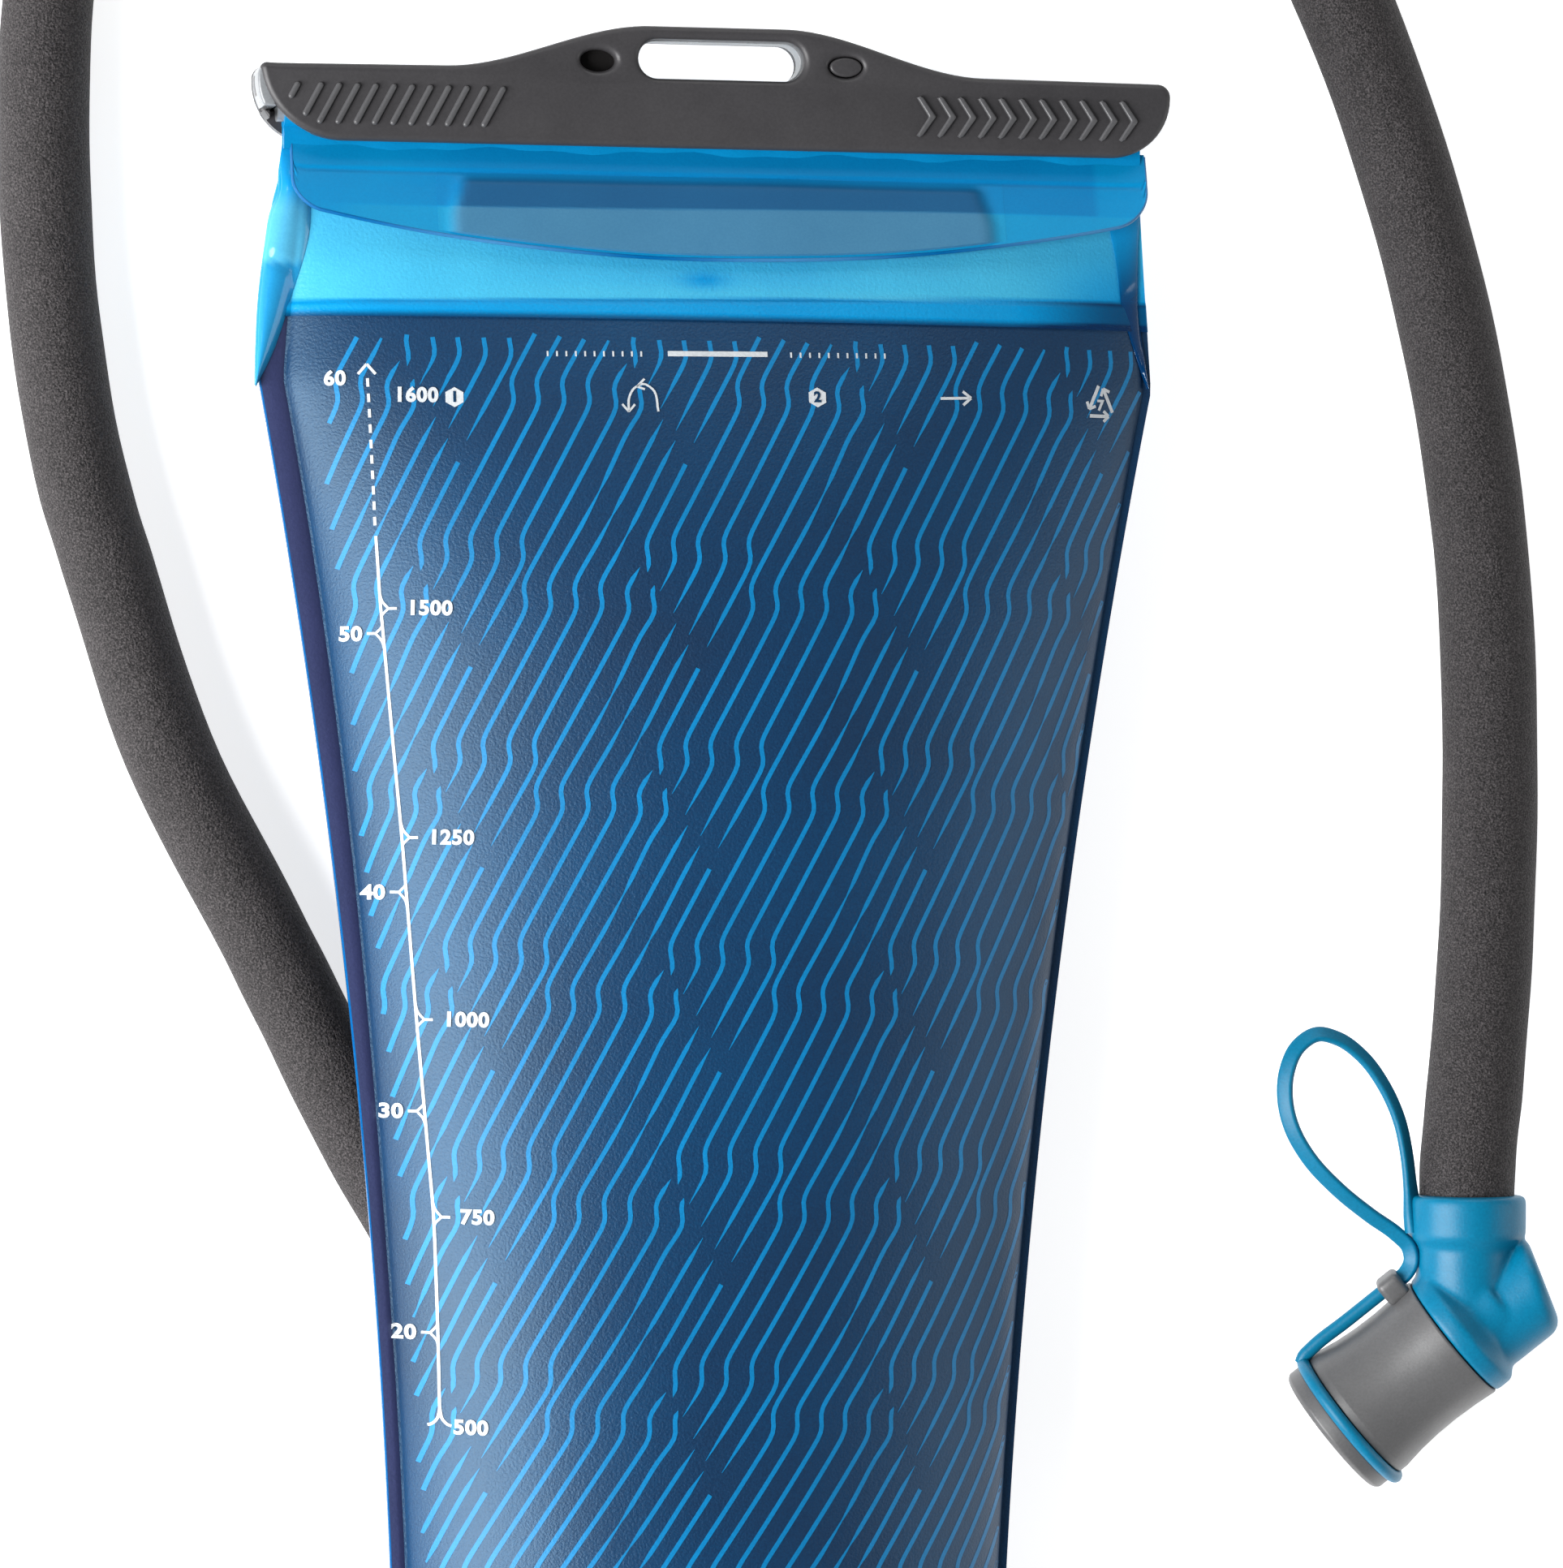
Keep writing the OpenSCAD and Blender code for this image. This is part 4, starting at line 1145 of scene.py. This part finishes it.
def tick(y, side):
    """A short mark whose foot flares into the scale's line both ways."""
    x = scale_x(y)
    parts = [line_mark([(x + side * 1.1, y), (x + side * 1.9, y), (x + side * 2.8, y)])]
    for way in (-1, 1):
        foot = (scale_x(y + way * 3.2), y + way * 3.2)
        bend = [foot, (x + side * 0.15, y + way * 1.5), (x + side * 1.3, y)]
        parts.append(line_mark(bend, 0.22))
    return parts


def make_scale(m):
    """The volume scale: its line, ticks and numbers."""
    parts = []
    solid = [(scale_x(y), y) for y in np.arange(85.5, -80, -6.0)] + [(scale_x(-79.5), -79.5)]
    parts.append(line_mark(solid))
    for y in np.arange(115.2, 87, -2.9):
        parts.append(line_mark([(scale_x(y), y), (scale_x(y - 0.8), y - 0.8), (scale_x(y - 1.6), y - 1.6)]))
    tip = (scale_x(117.6), 117.9)
    parts.append(line_mark([(tip[0] - 1.6, tip[1] - 1.9), tip]))
    parts.append(line_mark([(tip[0] + 1.6, tip[1] - 1.9), tip]))
    for text, y in RIGHT_MARKS:
        parts += tick(y, 1)
        parts.append(number(text, scale_x(y) + 4.0 + 1.16 * len(text), y, 2.75, -0.01))
    for text, y in LEFT_MARKS:
        parts += tick(y, -1)
        parts.append(number(text, scale_x(y) - 5.6, y - 0.2, 2.75, 0.02))
    foot = scale_x(-79.5)
    for side in (-1, 1):
        bend = [(0, -78.6), (0.5, -80.6), (1.6, -81.6), (2.0, -81.7)]
        parts.append(line_mark([(foot + side * x, y) for x, y in bend]))
    parts.append(number("500", foot + 5.3, -82.0, 2.75))
    parts.append(number("60", -72.7, 115.1, 2.75, 0.02))
    parts.append(number("1600", -57.9, 112.0, 2.75, -0.01))
    verts, faces = gather(parts)
    add_piece("print_scale", verts, faces, m["white_ink"], "bladder")


def disc_mark(x, y, r, sides):
    """A small printed polygon."""
    turn = np.radians(90) + np.arange(sides) * 2 * math.pi / sides
    px, py = x + r * np.cos(turn), y + r * np.sin(turn)
    rings = [np.column_stack([px, py, front_z(px, py) + lift]) for lift in (0.14, -0.1)]
    ends = [tuple(range(sides)), tuple(range(sides, 2 * sides))]
    return np.concatenate(rings), strips(2, sides, closed=True) + ends


def make_marks(m):
    """The fill line between two rows of dots, the two numbered steps with arrows, and a loop of arrows."""
    parts, digits = [], []
    for x0, x1, count in ((-33.3, -15.6, 11), (13.2, 31.5, 11)):
        for x in np.linspace(x0, x1, count):
            y = 120.4 + 0.01 * (x + 10)
            parts.append(line_mark([(x, y + 0.5), (x, y), (x, y - 0.5)], 0.16))
    parts.append(line_mark([(x, 120.5 + 0.01 * (x + 10)) for x in (-10.5, -6, -1, 4, 8.6)], 0.5))
    for digit, x, y in (("1", -50.9, 111.7), ("2", 17.9, 112.6)):
        parts.append(disc_mark(x, y, 1.9, 6))
        digits.append(number(digit, x, y, 2.0, 0.0, 0.24))
    parts.append(line_mark([(42.2, 112.9), (45.0, 113.0), (48.2, 113.1)]))
    for side in (-1, 1):
        parts.append(line_mark([(46.7, 113.05 + 1.3 * side), (48.3, 113.1)]))
    # arrow that turns over, for folding the mouth
    arch = [(-18.4, 109.4), (-18.3, 111.8), (-17.2, 113.8), (-15.4, 114.6), (-13.7, 113.6), (-12.8, 109.4)]
    parts.append(line_mark(arch, 0.2))
    for side in (-1, 1):
        parts.append(line_mark([(-18.4 + 1.2 * side, 110.7), (-18.4, 109.3)], 0.2))
        parts.append(line_mark([(-15.2, 114.6 + 1.0 * side), (-16.7, 114.1)], 0.2))
    # three arrows chasing one another
    corners = [(75.2, 117.0), (72.2, 110.4), (78.2, 110.4)]
    for k in range(3):
        a, b = np.array(corners[k]), np.array(corners[(k + 1) % 3])
        along = (b - a) / np.linalg.norm(b - a)
        across = np.array([-along[1], along[0]])
        tip = a + (b - a) * 0.8
        parts.append(line_mark([tuple(a + (b - a) * t) for t in (0.12, 0.45)] + [tuple(tip)], 0.32))
        for side in (-1, 1):
            parts.append(line_mark([tuple(tip - along * 1.1 + across * 1.0 * side), tuple(tip)], 0.28))
    parts.append(number("7", 75.2, 112.4, 2.0, 0.0, 0.24))
    verts, faces = gather(parts)
    add_piece("print_marks", verts, faces, m["white_ink"], "bladder")
    verts, faces = gather(digits)
    add_piece("print_digits", verts, faces, m["navy_ink"], "bladder")


# ---- Slide bar ----

BAR_HALF, BAR_LOW_Y, BAR_TOP_Y, BAR_END_Y = 88.5, 160.0, 183.0, 174.6
BAR_LOW_Z, BAR_HIGH_Z = FOLD_Z - 6.2, FOLD_Z + 6.2
CORE_LOW_Z, CORE_HIGH_Z = FOLD_Z - 2.5, FOLD_Z + 2.5
HANDLE_X, HANDLE_Y, HANDLE_LEN, HANDLE_H = 0.8, 176.8, 32.0, 7.5
RIB_Y, RIB_TOP = 166.9, 3.8
HOLE, PEG = (-23, 176.2), (24.8, 176)


def bar_top(x):
    """Upper edge of the bar, which rises over the handle."""
    a = np.abs(x)
    rise = (BAR_TOP_Y - BAR_END_Y) * (1 - smooth((a - 13) / 39))
    return BAR_END_Y + rise - 0.3 * np.maximum(0, a - 52) / 33


def arc_points(cx, cy, r, start, end, steps):
    """Points on an arc between two angles in degrees."""
    angles = np.radians(np.linspace(start, end, steps + 1))
    return [(cx + r * math.cos(a), cy + r * math.sin(a)) for a in angles]


LEFT_TOP_Y = 174.4
# The left end of the front shell and of all behind it: its place, its lean, how wide and how tall its
# long curve is, its top corner, and the angle at which the curve leaves that corner
FRONT_END = (-87.2, 0.05, 15.0, 14.4, 1.2, 0.12)
BACK_END = (-87.7, 0.0, 11.0, 11.5, 2.4, 0.0)
# The bar is solid from here to its left end, and the white cap of that end reaches down to CAP_LOW_Y
CLOSED_X, CAP_LOW_Y = -84.2, 166.0


def bar_outline(inset, end=BACK_END):
    """The bar's outline, inset all round, with one of the two left ends."""
    left, lean, wide, tall, corner, leave = end
    low_r, high_r = 11.5 - inset, 2.5 - inset
    high_y = float(bar_top(BAR_HALF)) - inset - high_r
    x_low, x_high = BAR_HALF - inset - low_r, BAR_HALF - inset - high_r
    points = arc_points(x_low, BAR_LOW_Y + inset + low_r, low_r, -90, 0, 14)
    points += arc_points(x_high, high_y, high_r, 0, 85, 7)
    points += [(x, float(bar_top(x)) - inset) for x in np.arange(82, -84.5, -2)]
    points += arc_points(left + inset + corner, LEFT_TOP_Y - inset - corner, corner, 85, 175, 6)
    for turn in np.linspace(leave, math.pi / 2, 24):
        down = tall * math.sin(turn)
        y = BAR_LOW_Y + tall - down
        x = left + inset + lean * (LEFT_TOP_Y - y) + wide * (1 - math.cos(turn))
        points.append((x, max(y, BAR_LOW_Y + inset)))
    return points


def slot_outline(length, height):
    """The handle's opening, with round ends."""
    reach = (length - height) / 2
    points = arc_points(HANDLE_X + reach, HANDLE_Y, height / 2, 90, -90, 16)
    return points + arc_points(HANDLE_X - reach, HANDLE_Y, height / 2, -90, -270, 16)


def oval_outline(x, y, width, height, steps=28):
    return [(x + width / 2 * math.cos(a), y - height / 2 * math.sin(a))
            for a in np.arange(steps) * 2 * math.pi / steps]


def capsule(x0, y0, x1, y1, half):
    """Outline of a bar with round ends."""
    turn = math.degrees(math.atan2(y1 - y0, x1 - x0))
    ahead = arc_points(x1, y1, half, turn - 90, turn + 90, 6)
    return ahead + arc_points(x0, y0, half, turn + 90, turn + 270, 6)


def make_grips(m):
    """Slanted ribs of the left grip and chevrons of the right one."""
    low, high, half = BAR_HIGH_Z - 0.5, BAR_HIGH_Z + 0.75, 0.56
    meshes = []
    for i in range(12):
        x, height = -82.1 + 0.95 * min(i, 1) + 3.465 * i, min(7.8, 3.2 + 3.2 * i)
        lean = math.tan(math.radians(28))
        top, foot = RIB_TOP - half, RIB_TOP - height + half
        line = capsule(x + foot * lean, RIB_Y + foot, x + top * lean, RIB_Y + top, half)
        meshes.append(plate_mesh("rib", [line], low, high, 0.45, rounds=3))
    for i in range(11):
        x = 40.4 + 3.96 * i
        line = [(-1.85, -3.6), (-1.3, -3.9), (-0.7, -3.6), (1.7, -0.25), (1.8, 0), (1.7, 0.25), (-0.7, 3.6),
                (-1.3, 3.9), (-1.85, 3.6), (0.38, 0.2), (0.42, 0), (0.38, -0.2)]
        outline = [(x + a, RIB_Y + b) for a, b in line]
        meshes.append(plate_mesh("chevron", [outline], low, high, 0.34, rounds=3))
    finish_piece("bar_grips", joined("bar_grips", meshes), m["grip"], "slide_bar")


def make_shell(name, m, end, holes, low, high, node):
    """One half of the charcoal bar, hollowed along the channel that the folded mouth runs in."""
    channel = box_mesh((-85.1, BAR_LOW_Y + 1.2, FOLD_Z - 4.9), (91, BAR_LOW_Y + 11.2, FOLD_Z + 4.9))
    plate = plate_mesh(name, [bar_outline(0, end)] + holes, low, high, 1.2)
    shell = finish_piece(name, carved(plate, [channel]), m["charcoal"], "slide_bar")
    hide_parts(node)


def make_core(m, slot):
    """White inner bar, whose closed left end shows beside the front shell and its wall in the handle."""
    middle = plate_mesh("core", [bar_outline(0.8, FRONT_END), slot], CORE_LOW_Z, CORE_HIGH_Z, 0.1)
    low, high = BAR_LOW_Y + 1.3, BAR_LOW_Y + 11.1
    block = [(x, max(y, low)) for x, y in bar_outline(0.8, FRONT_END) if y < high]
    block = plate_mesh("core", [block], FOLD_Z - 4.8, FOLD_Z + 4.8, 0.1)
    slit = box_mesh((-85.0, BAR_LOW_Y - 1, FOLD_Z - 2.0), (92, FOLD_Y, FOLD_Z + 2.0))
    along = Matrix.Translation((0, FOLD_Y, FOLD_Z)) @ Matrix.Rotation(math.radians(90), 4, "Y")
    pocket = round_bar(along, -85.0, 92, 4.1, segments=32)
    middle = carved(middle, [slit, pocket])
    corner = plate_mesh("cutter", [slot_outline(HANDLE_LEN, HANDLE_H)], BAR_LOW_Z, BAR_HIGH_Z, 0.1)
    block = carved(block, [slit, pocket, corner])
    end = [(x, y) for x, y in bar_outline(0.05) if x < CLOSED_X and y > CAP_LOW_Y]
    end += [(CLOSED_X, end[-1][1]), (CLOSED_X, end[0][1])]
    cap = plate_mesh("bar_end_cap", [end], BAR_LOW_Z + 1.4, BAR_HIGH_Z - 0.8, 0.5)
    core = joined("bar_core", [middle, block, cap])
    core = finish_piece("bar_core", core, m["white"], "slide_bar")
    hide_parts("slider_core")
    cheek = [(x, y) for x, y in bar_outline(0.0) if x < -79.5 and y < 166.1]
    cheek = plate_mesh("cheek", [cheek + [(-79.5, 166.1)]], BAR_LOW_Z + 0.5, CORE_HIGH_Z + 0.3, 0.4)
    cheek = carved(cheek, [box_mesh((-85.1, 150, FOLD_Z - 2.2), (-70, 167, FOLD_Z + 4.9))])
    finish_piece("bar_cheek", cheek, m["charcoal"], "slide_bar")
    recess = [(x - 0.04, y) for x, y in bar_outline(0.05) if 168.2 < y < 172.2 and x < -80]
    recess += [(-86, recess[-1][1]), (-86, recess[0][1])]
    recess = plate_mesh("end_recess", [recess], 24.0, 26.2, 0.1)
    finish_piece("end_recess", recess, m["grip"], "slide_bar")


def make_slide_bar(m):
    slot = slot_outline(HANDLE_LEN, HANDLE_H)
    hole, peg = oval_outline(*HOLE, 6.8, 4.2), oval_outline(*PEG, 6.5, 4)
    holes = [slot, hole, peg]
    make_shell("bar_front", m, FRONT_END, holes, CORE_HIGH_Z + 0.06, BAR_HIGH_Z, "slider_front_shell")
    make_shell("bar_back", m, BACK_END, [slot], BAR_LOW_Z, CORE_LOW_Z - 0.06, "slider_back_shell")
    make_core(m, slot_outline(HANDLE_LEN - 0.3, HANDLE_H - 0.3))
    make_grips(m)
    # Painted shade: a near-black disc over the white core stands in for the shade at the bottom of the hole.
    floor = [oval_outline(*HOLE, 7.6, 5.0)]
    floor = plate_mesh("hole_shade_disc", floor, CORE_HIGH_Z + 0.02, CORE_HIGH_Z + 0.6, 0.1)
    finish_piece("hole_shade_disc", floor, m["dark"], "slide_bar")
    pin = [oval_outline(*PEG, 6.2, 3.7)]
    pin = plate_mesh("bar_peg", pin, CORE_HIGH_Z - 1.8, BAR_HIGH_Z - 0.12, 0.5)
    pin = finish_piece("bar_peg", pin, m["charcoal"], "slide_bar")
    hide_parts("slider_peg")


# ---- Bite valve ----

ELBOW = Vector((151.5, -65.0, 23.0))
BARREL = (
    Matrix.Translation(ELBOW)
    @ Matrix.Rotation(math.radians(221), 4, "Z")
    @ Matrix.Rotation(math.radians(105), 4, "Y")
)
END_AXIS = Matrix.Translation(ELBOW) @ Matrix.Rotation(math.radians(-90), 4, "X")
FLANGE_S, COVER_LEN, COVER_R, COVER_BORE = 3.2, 27.0, 13.5, 11.6
STRAP_Y, TETHER_R = -15.6, 1.4


def round_bar(matrix, start, end, r, segments=64):
    """A round bar along a frame's Z axis."""
    verts, faces = lathe([(0.001, start), (r, start), (r, end), (0.001, end)], segments)
    return mesh_of(placed(matrix, verts), faces)


def turned(matrix, profile):
    """A lathed block along a frame's Z axis."""
    verts, faces = lathe(profile)
    return mesh_of(placed(matrix, verts), faces)


def rounded(mesh, radius):
    """A mesh with its sharp edges rounded."""
    source = bpy.data.objects.new("rounding", mesh)
    bpy.context.scene.collection.objects.link(source)
    bevel = source.modifiers.new("round", "BEVEL")
    bevel.width, bevel.segments, bevel.limit_method = radius * MM, 6, "ANGLE"
    bevel.angle_limit = math.radians(40)
    return to_mesh(source, mesh.name + "_rounded")


def make_valve_body(m):
    """Collar, neck and barrel grown into one another, as one soft moulding."""
    behind = BARREL @ Matrix.Translation((0, 2.6, 0))
    end_cut = BARREL @ Matrix.Translation((0, 2.6, -17.3)) @ Matrix.Rotation(math.radians(18), 4, "X")
    neck = fillet(
        [(0.001, 0.5), (9.75, 0.5), (9.75, 15.4), (11.5, 17.4), (11.5, 25.5), (0.001, 25.5)],
        [0.5, 3, 3, 1.2],
    )
    flange = fillet(
        [(0.001, -9), (9.4, -9), (9.9, -3.6), (COVER_R, -0.6), (COVER_R, FLANGE_S), (0.001, FLANGE_S)],
        [1, 3, 1, 0.6],
    )
    slab = box_mesh((-18, -18, -14), (18, 18, 0), end_cut)
    barrel = rounded(carved(round_bar(behind, -26, -1, 9.2), [slab]), 2.4)
    whole = joined("valve_body", [turned(END_AXIS, neck), turned(BARREL, flange), barrel])
    source = bpy.data.objects.new("valve_body_source", whole)
    bpy.context.scene.collection.objects.link(source)
    remesh = source.modifiers.new("grow", "REMESH")
    remesh.mode, remesh.voxel_size = "VOXEL", 0.34 * MM
    ease = source.modifiers.new("ease", "SMOOTH")
    ease.factor, ease.iterations = 0.5, 30
    grown = to_mesh(source, "valve_grown")
    cup = round_bar(END_AXIS, 17.4, 27, SLEEVE_R + 0.3)
    bore = round_bar(BARREL, 0.8, 8, 6.05)
    grown = carved(grown, [cup, bore])
    body = finish_piece("valve_body", grown, m["valve"], "valve", sharp=50)
    soften = body.modifiers.new("soften", "BEVEL")
    soften.width, soften.segments, soften.limit_method = 0.5 * MM, 3, "ANGLE"
    soften.angle_limit = math.radians(50)
    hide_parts("valve_elbow")


def make_cover(m):
    """The dust cover with its groove, its waist and the lug that the tether holds."""
    mouth = FLANGE_S + 0.1
    base = mouth + COVER_LEN
    profile = [
        (0.001, base + 3.4), (13.3, base + 3.4), (14.0, base + 2.5), (14.0, base), (12.9, base - 0.2),
        (12.9, mouth + 24.7), (14.1, mouth + 24.5), (14.1, mouth + 22.8), (13.4, mouth + 18.5),
        (13.0, mouth + 14), (12.9, mouth + 9.5), (13.1, mouth + 4.5), (13.5, mouth),
        (COVER_BORE + 0.02, mouth), (COVER_BORE, base + 1.6), (0.001, base + 1.6),
    ]
    radii = [1.2, 0.8, 0.4, 0.3, 0.3, 0.5, 1.6, 5, 5, 5, 5, 0.5, 0.5, 1.0]
    verts, faces = lathe(fillet(profile, radii), 120)
    shell = mesh_of(placed(BARREL, verts), faces)
    lug = [(-3.2, -17.8), (3.2, -17.8), (3.2, -12.4), (-3.2, -12.4)]
    ring = [tuple(p) for p in fillet(lug + lug[:2], [1.6] * 4, 4)[1:-1]]
    lug = plate_mesh("lug", [ring], mouth + 0.4, mouth + 5.2, 1.1, BARREL)
    whole = joined("cover_shell", [shell, lug])
    cover = finish_piece("cover_shell", whole, m["cover"], "cover")
    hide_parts("dust_cover")


def make_strap(m):
    """Ring in the cover's groove, and the strap from it along the cover to the lug."""
    ring_s = FLANGE_S + 0.1 + COVER_LEN - 1.2
    angles = np.arange(96) * 2 * math.pi / 96
    circle = np.stack([14.35 * np.cos(angles), 14.35 * np.sin(angles), np.full(96, ring_s)], 1)
    axis = tuple(BARREL.col[2][:3])
    ring = sweep(placed(BARREL, circle), ellipse(1.22, 1.25, 14), side=axis, closed=True)
    ends = smooth_path(
        [(0, -14.6, ring_s + 0.2), (0, -15.3, ring_s - 1.0), (0, STRAP_Y, ring_s - 3),
         (0, STRAP_Y, ring_s - 12), (0, STRAP_Y, FLANGE_S + 8), (0, STRAP_Y, FLANGE_S + 0.7)], 6)
    strap = sweep(placed(BARREL, ends), ellipse(TETHER_R, 1.25, 14), side=tuple(BARREL.col[0][:3]))
    verts, faces = gather([ring, strap])
    piece = add_piece("cover_strap", verts, faces, m["valve"], "cover")
    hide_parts("tether_strap")


LOOP_ROUTE = [
    (141.3, -46.5, 23), (140.6, -42.5, 23), (140.1, -38, 23), (139.3, -31.5, 23), (137.8, -25, 23),
    (134.8, -18.5, 23), (130.2, -12.5, 23), (125.5, -9.2, 23), (121.2, -8.3, 23), (117.4, -10.7, 23),
    (115.2, -15.5, 23), (114.9, -21, 23), (116.3, -26.5, 23), (119.5, -32, 23),
    (125.5, -38.3, 23), (132.3, -43.6, 23),
    (137.4, -47.1, 23), (139.9, -49.6, 23), (140.5, -52.3, 22.8), (139.4, -54.8, 22.4), (138.2, -56.0, 21.9),
]


def make_tether(m):
    """Flat moulded loop between the valve's collar and the cover's lug, with a thick root on the collar."""
    path = smooth_path(LOOP_ROUTE, 6)
    corners = [(0.7, 0), (0.7, 1.6), (-0.7, 1.6), (-0.7, -1.6), (0.7, -1.6), (0.7, 0)]
    turn = math.radians(50)
    profile = fillet(corners, 0.6, 3)[:-1] @ np.array(
        [[math.cos(turn), math.sin(turn)], [-math.sin(turn), math.cos(turn)]]
    )
    along = np.concatenate([[0], np.cumsum(np.linalg.norm(np.diff(path, axis=0), axis=1))])
    verts, faces = sweep(path, profile, sizes=1 + 0.7 * np.exp(-((along / 6) ** 2)))
    loop = add_piece("tether", verts, faces, m["valve"], None)
    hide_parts("tether_loop")
    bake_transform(loop)


# ---- CAD nodes that stay as they are, with their finish ----

KEPT = {
    "closure_rail": "white", "port_flange": "charcoal", "port_body": "charcoal", "shutoff_poppet": "white",
    "poppet_seal": "rubber", "poppet_spring": "steel", "release_button": "cover",
    "tube_connector": "charcoal", "connector_seal": "rubber", "drink_tube": "tube", "swivel_barb": "white",
    "swivel_seal": "rubber", "shutoff_core": "white", "mouthpiece": "silicone",
}


def finish_nodes(m):
    """Gives the CAD nodes that stay in sight their finish."""
    for name, material in KEPT.items():
        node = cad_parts[name]
        node.data.materials.clear()
        node.data.materials.append(m[material])


def main():
    make_camera()
    bpy.context.scene.view_settings.view_transform = "Standard"
    m = make_materials()
    make_valve_body(m)
    make_cover(m)
    make_strap(m)
    make_tether(m)
    make_hose(m)
    make_panels(m)
    make_collar(m)
    make_gusset("gusset_left", *GUSSET_L, m, (2.4, 1.4), (0.05, 0.42), 137.5, 1.0)
    make_gusset("gusset_right", *GUSSET_R, m, (0.7, 0.9), (0.45, 1.0), 150.0, 20.0)
    make_fold(m)
    make_flap(m)
    film_map = FrontMap()
    make_strokes(m, film_map)
    make_scale(m)
    make_marks(m)
    make_slide_bar(m)
    finish_nodes(m)
    make_floor()
    make_world()
    area_light("key_left", (-0.86, -0.22, 0.54), 1.6, 1.0, 1.4, 66)
    area_light("fill_right", (0.92, -0.1, 0.4), 1.7, 0.6, 1.2, 5)
    area_light("top_soft", (0.1, 0.85, 0.5), 1.9, 1.4, 0.8, 8)


main()
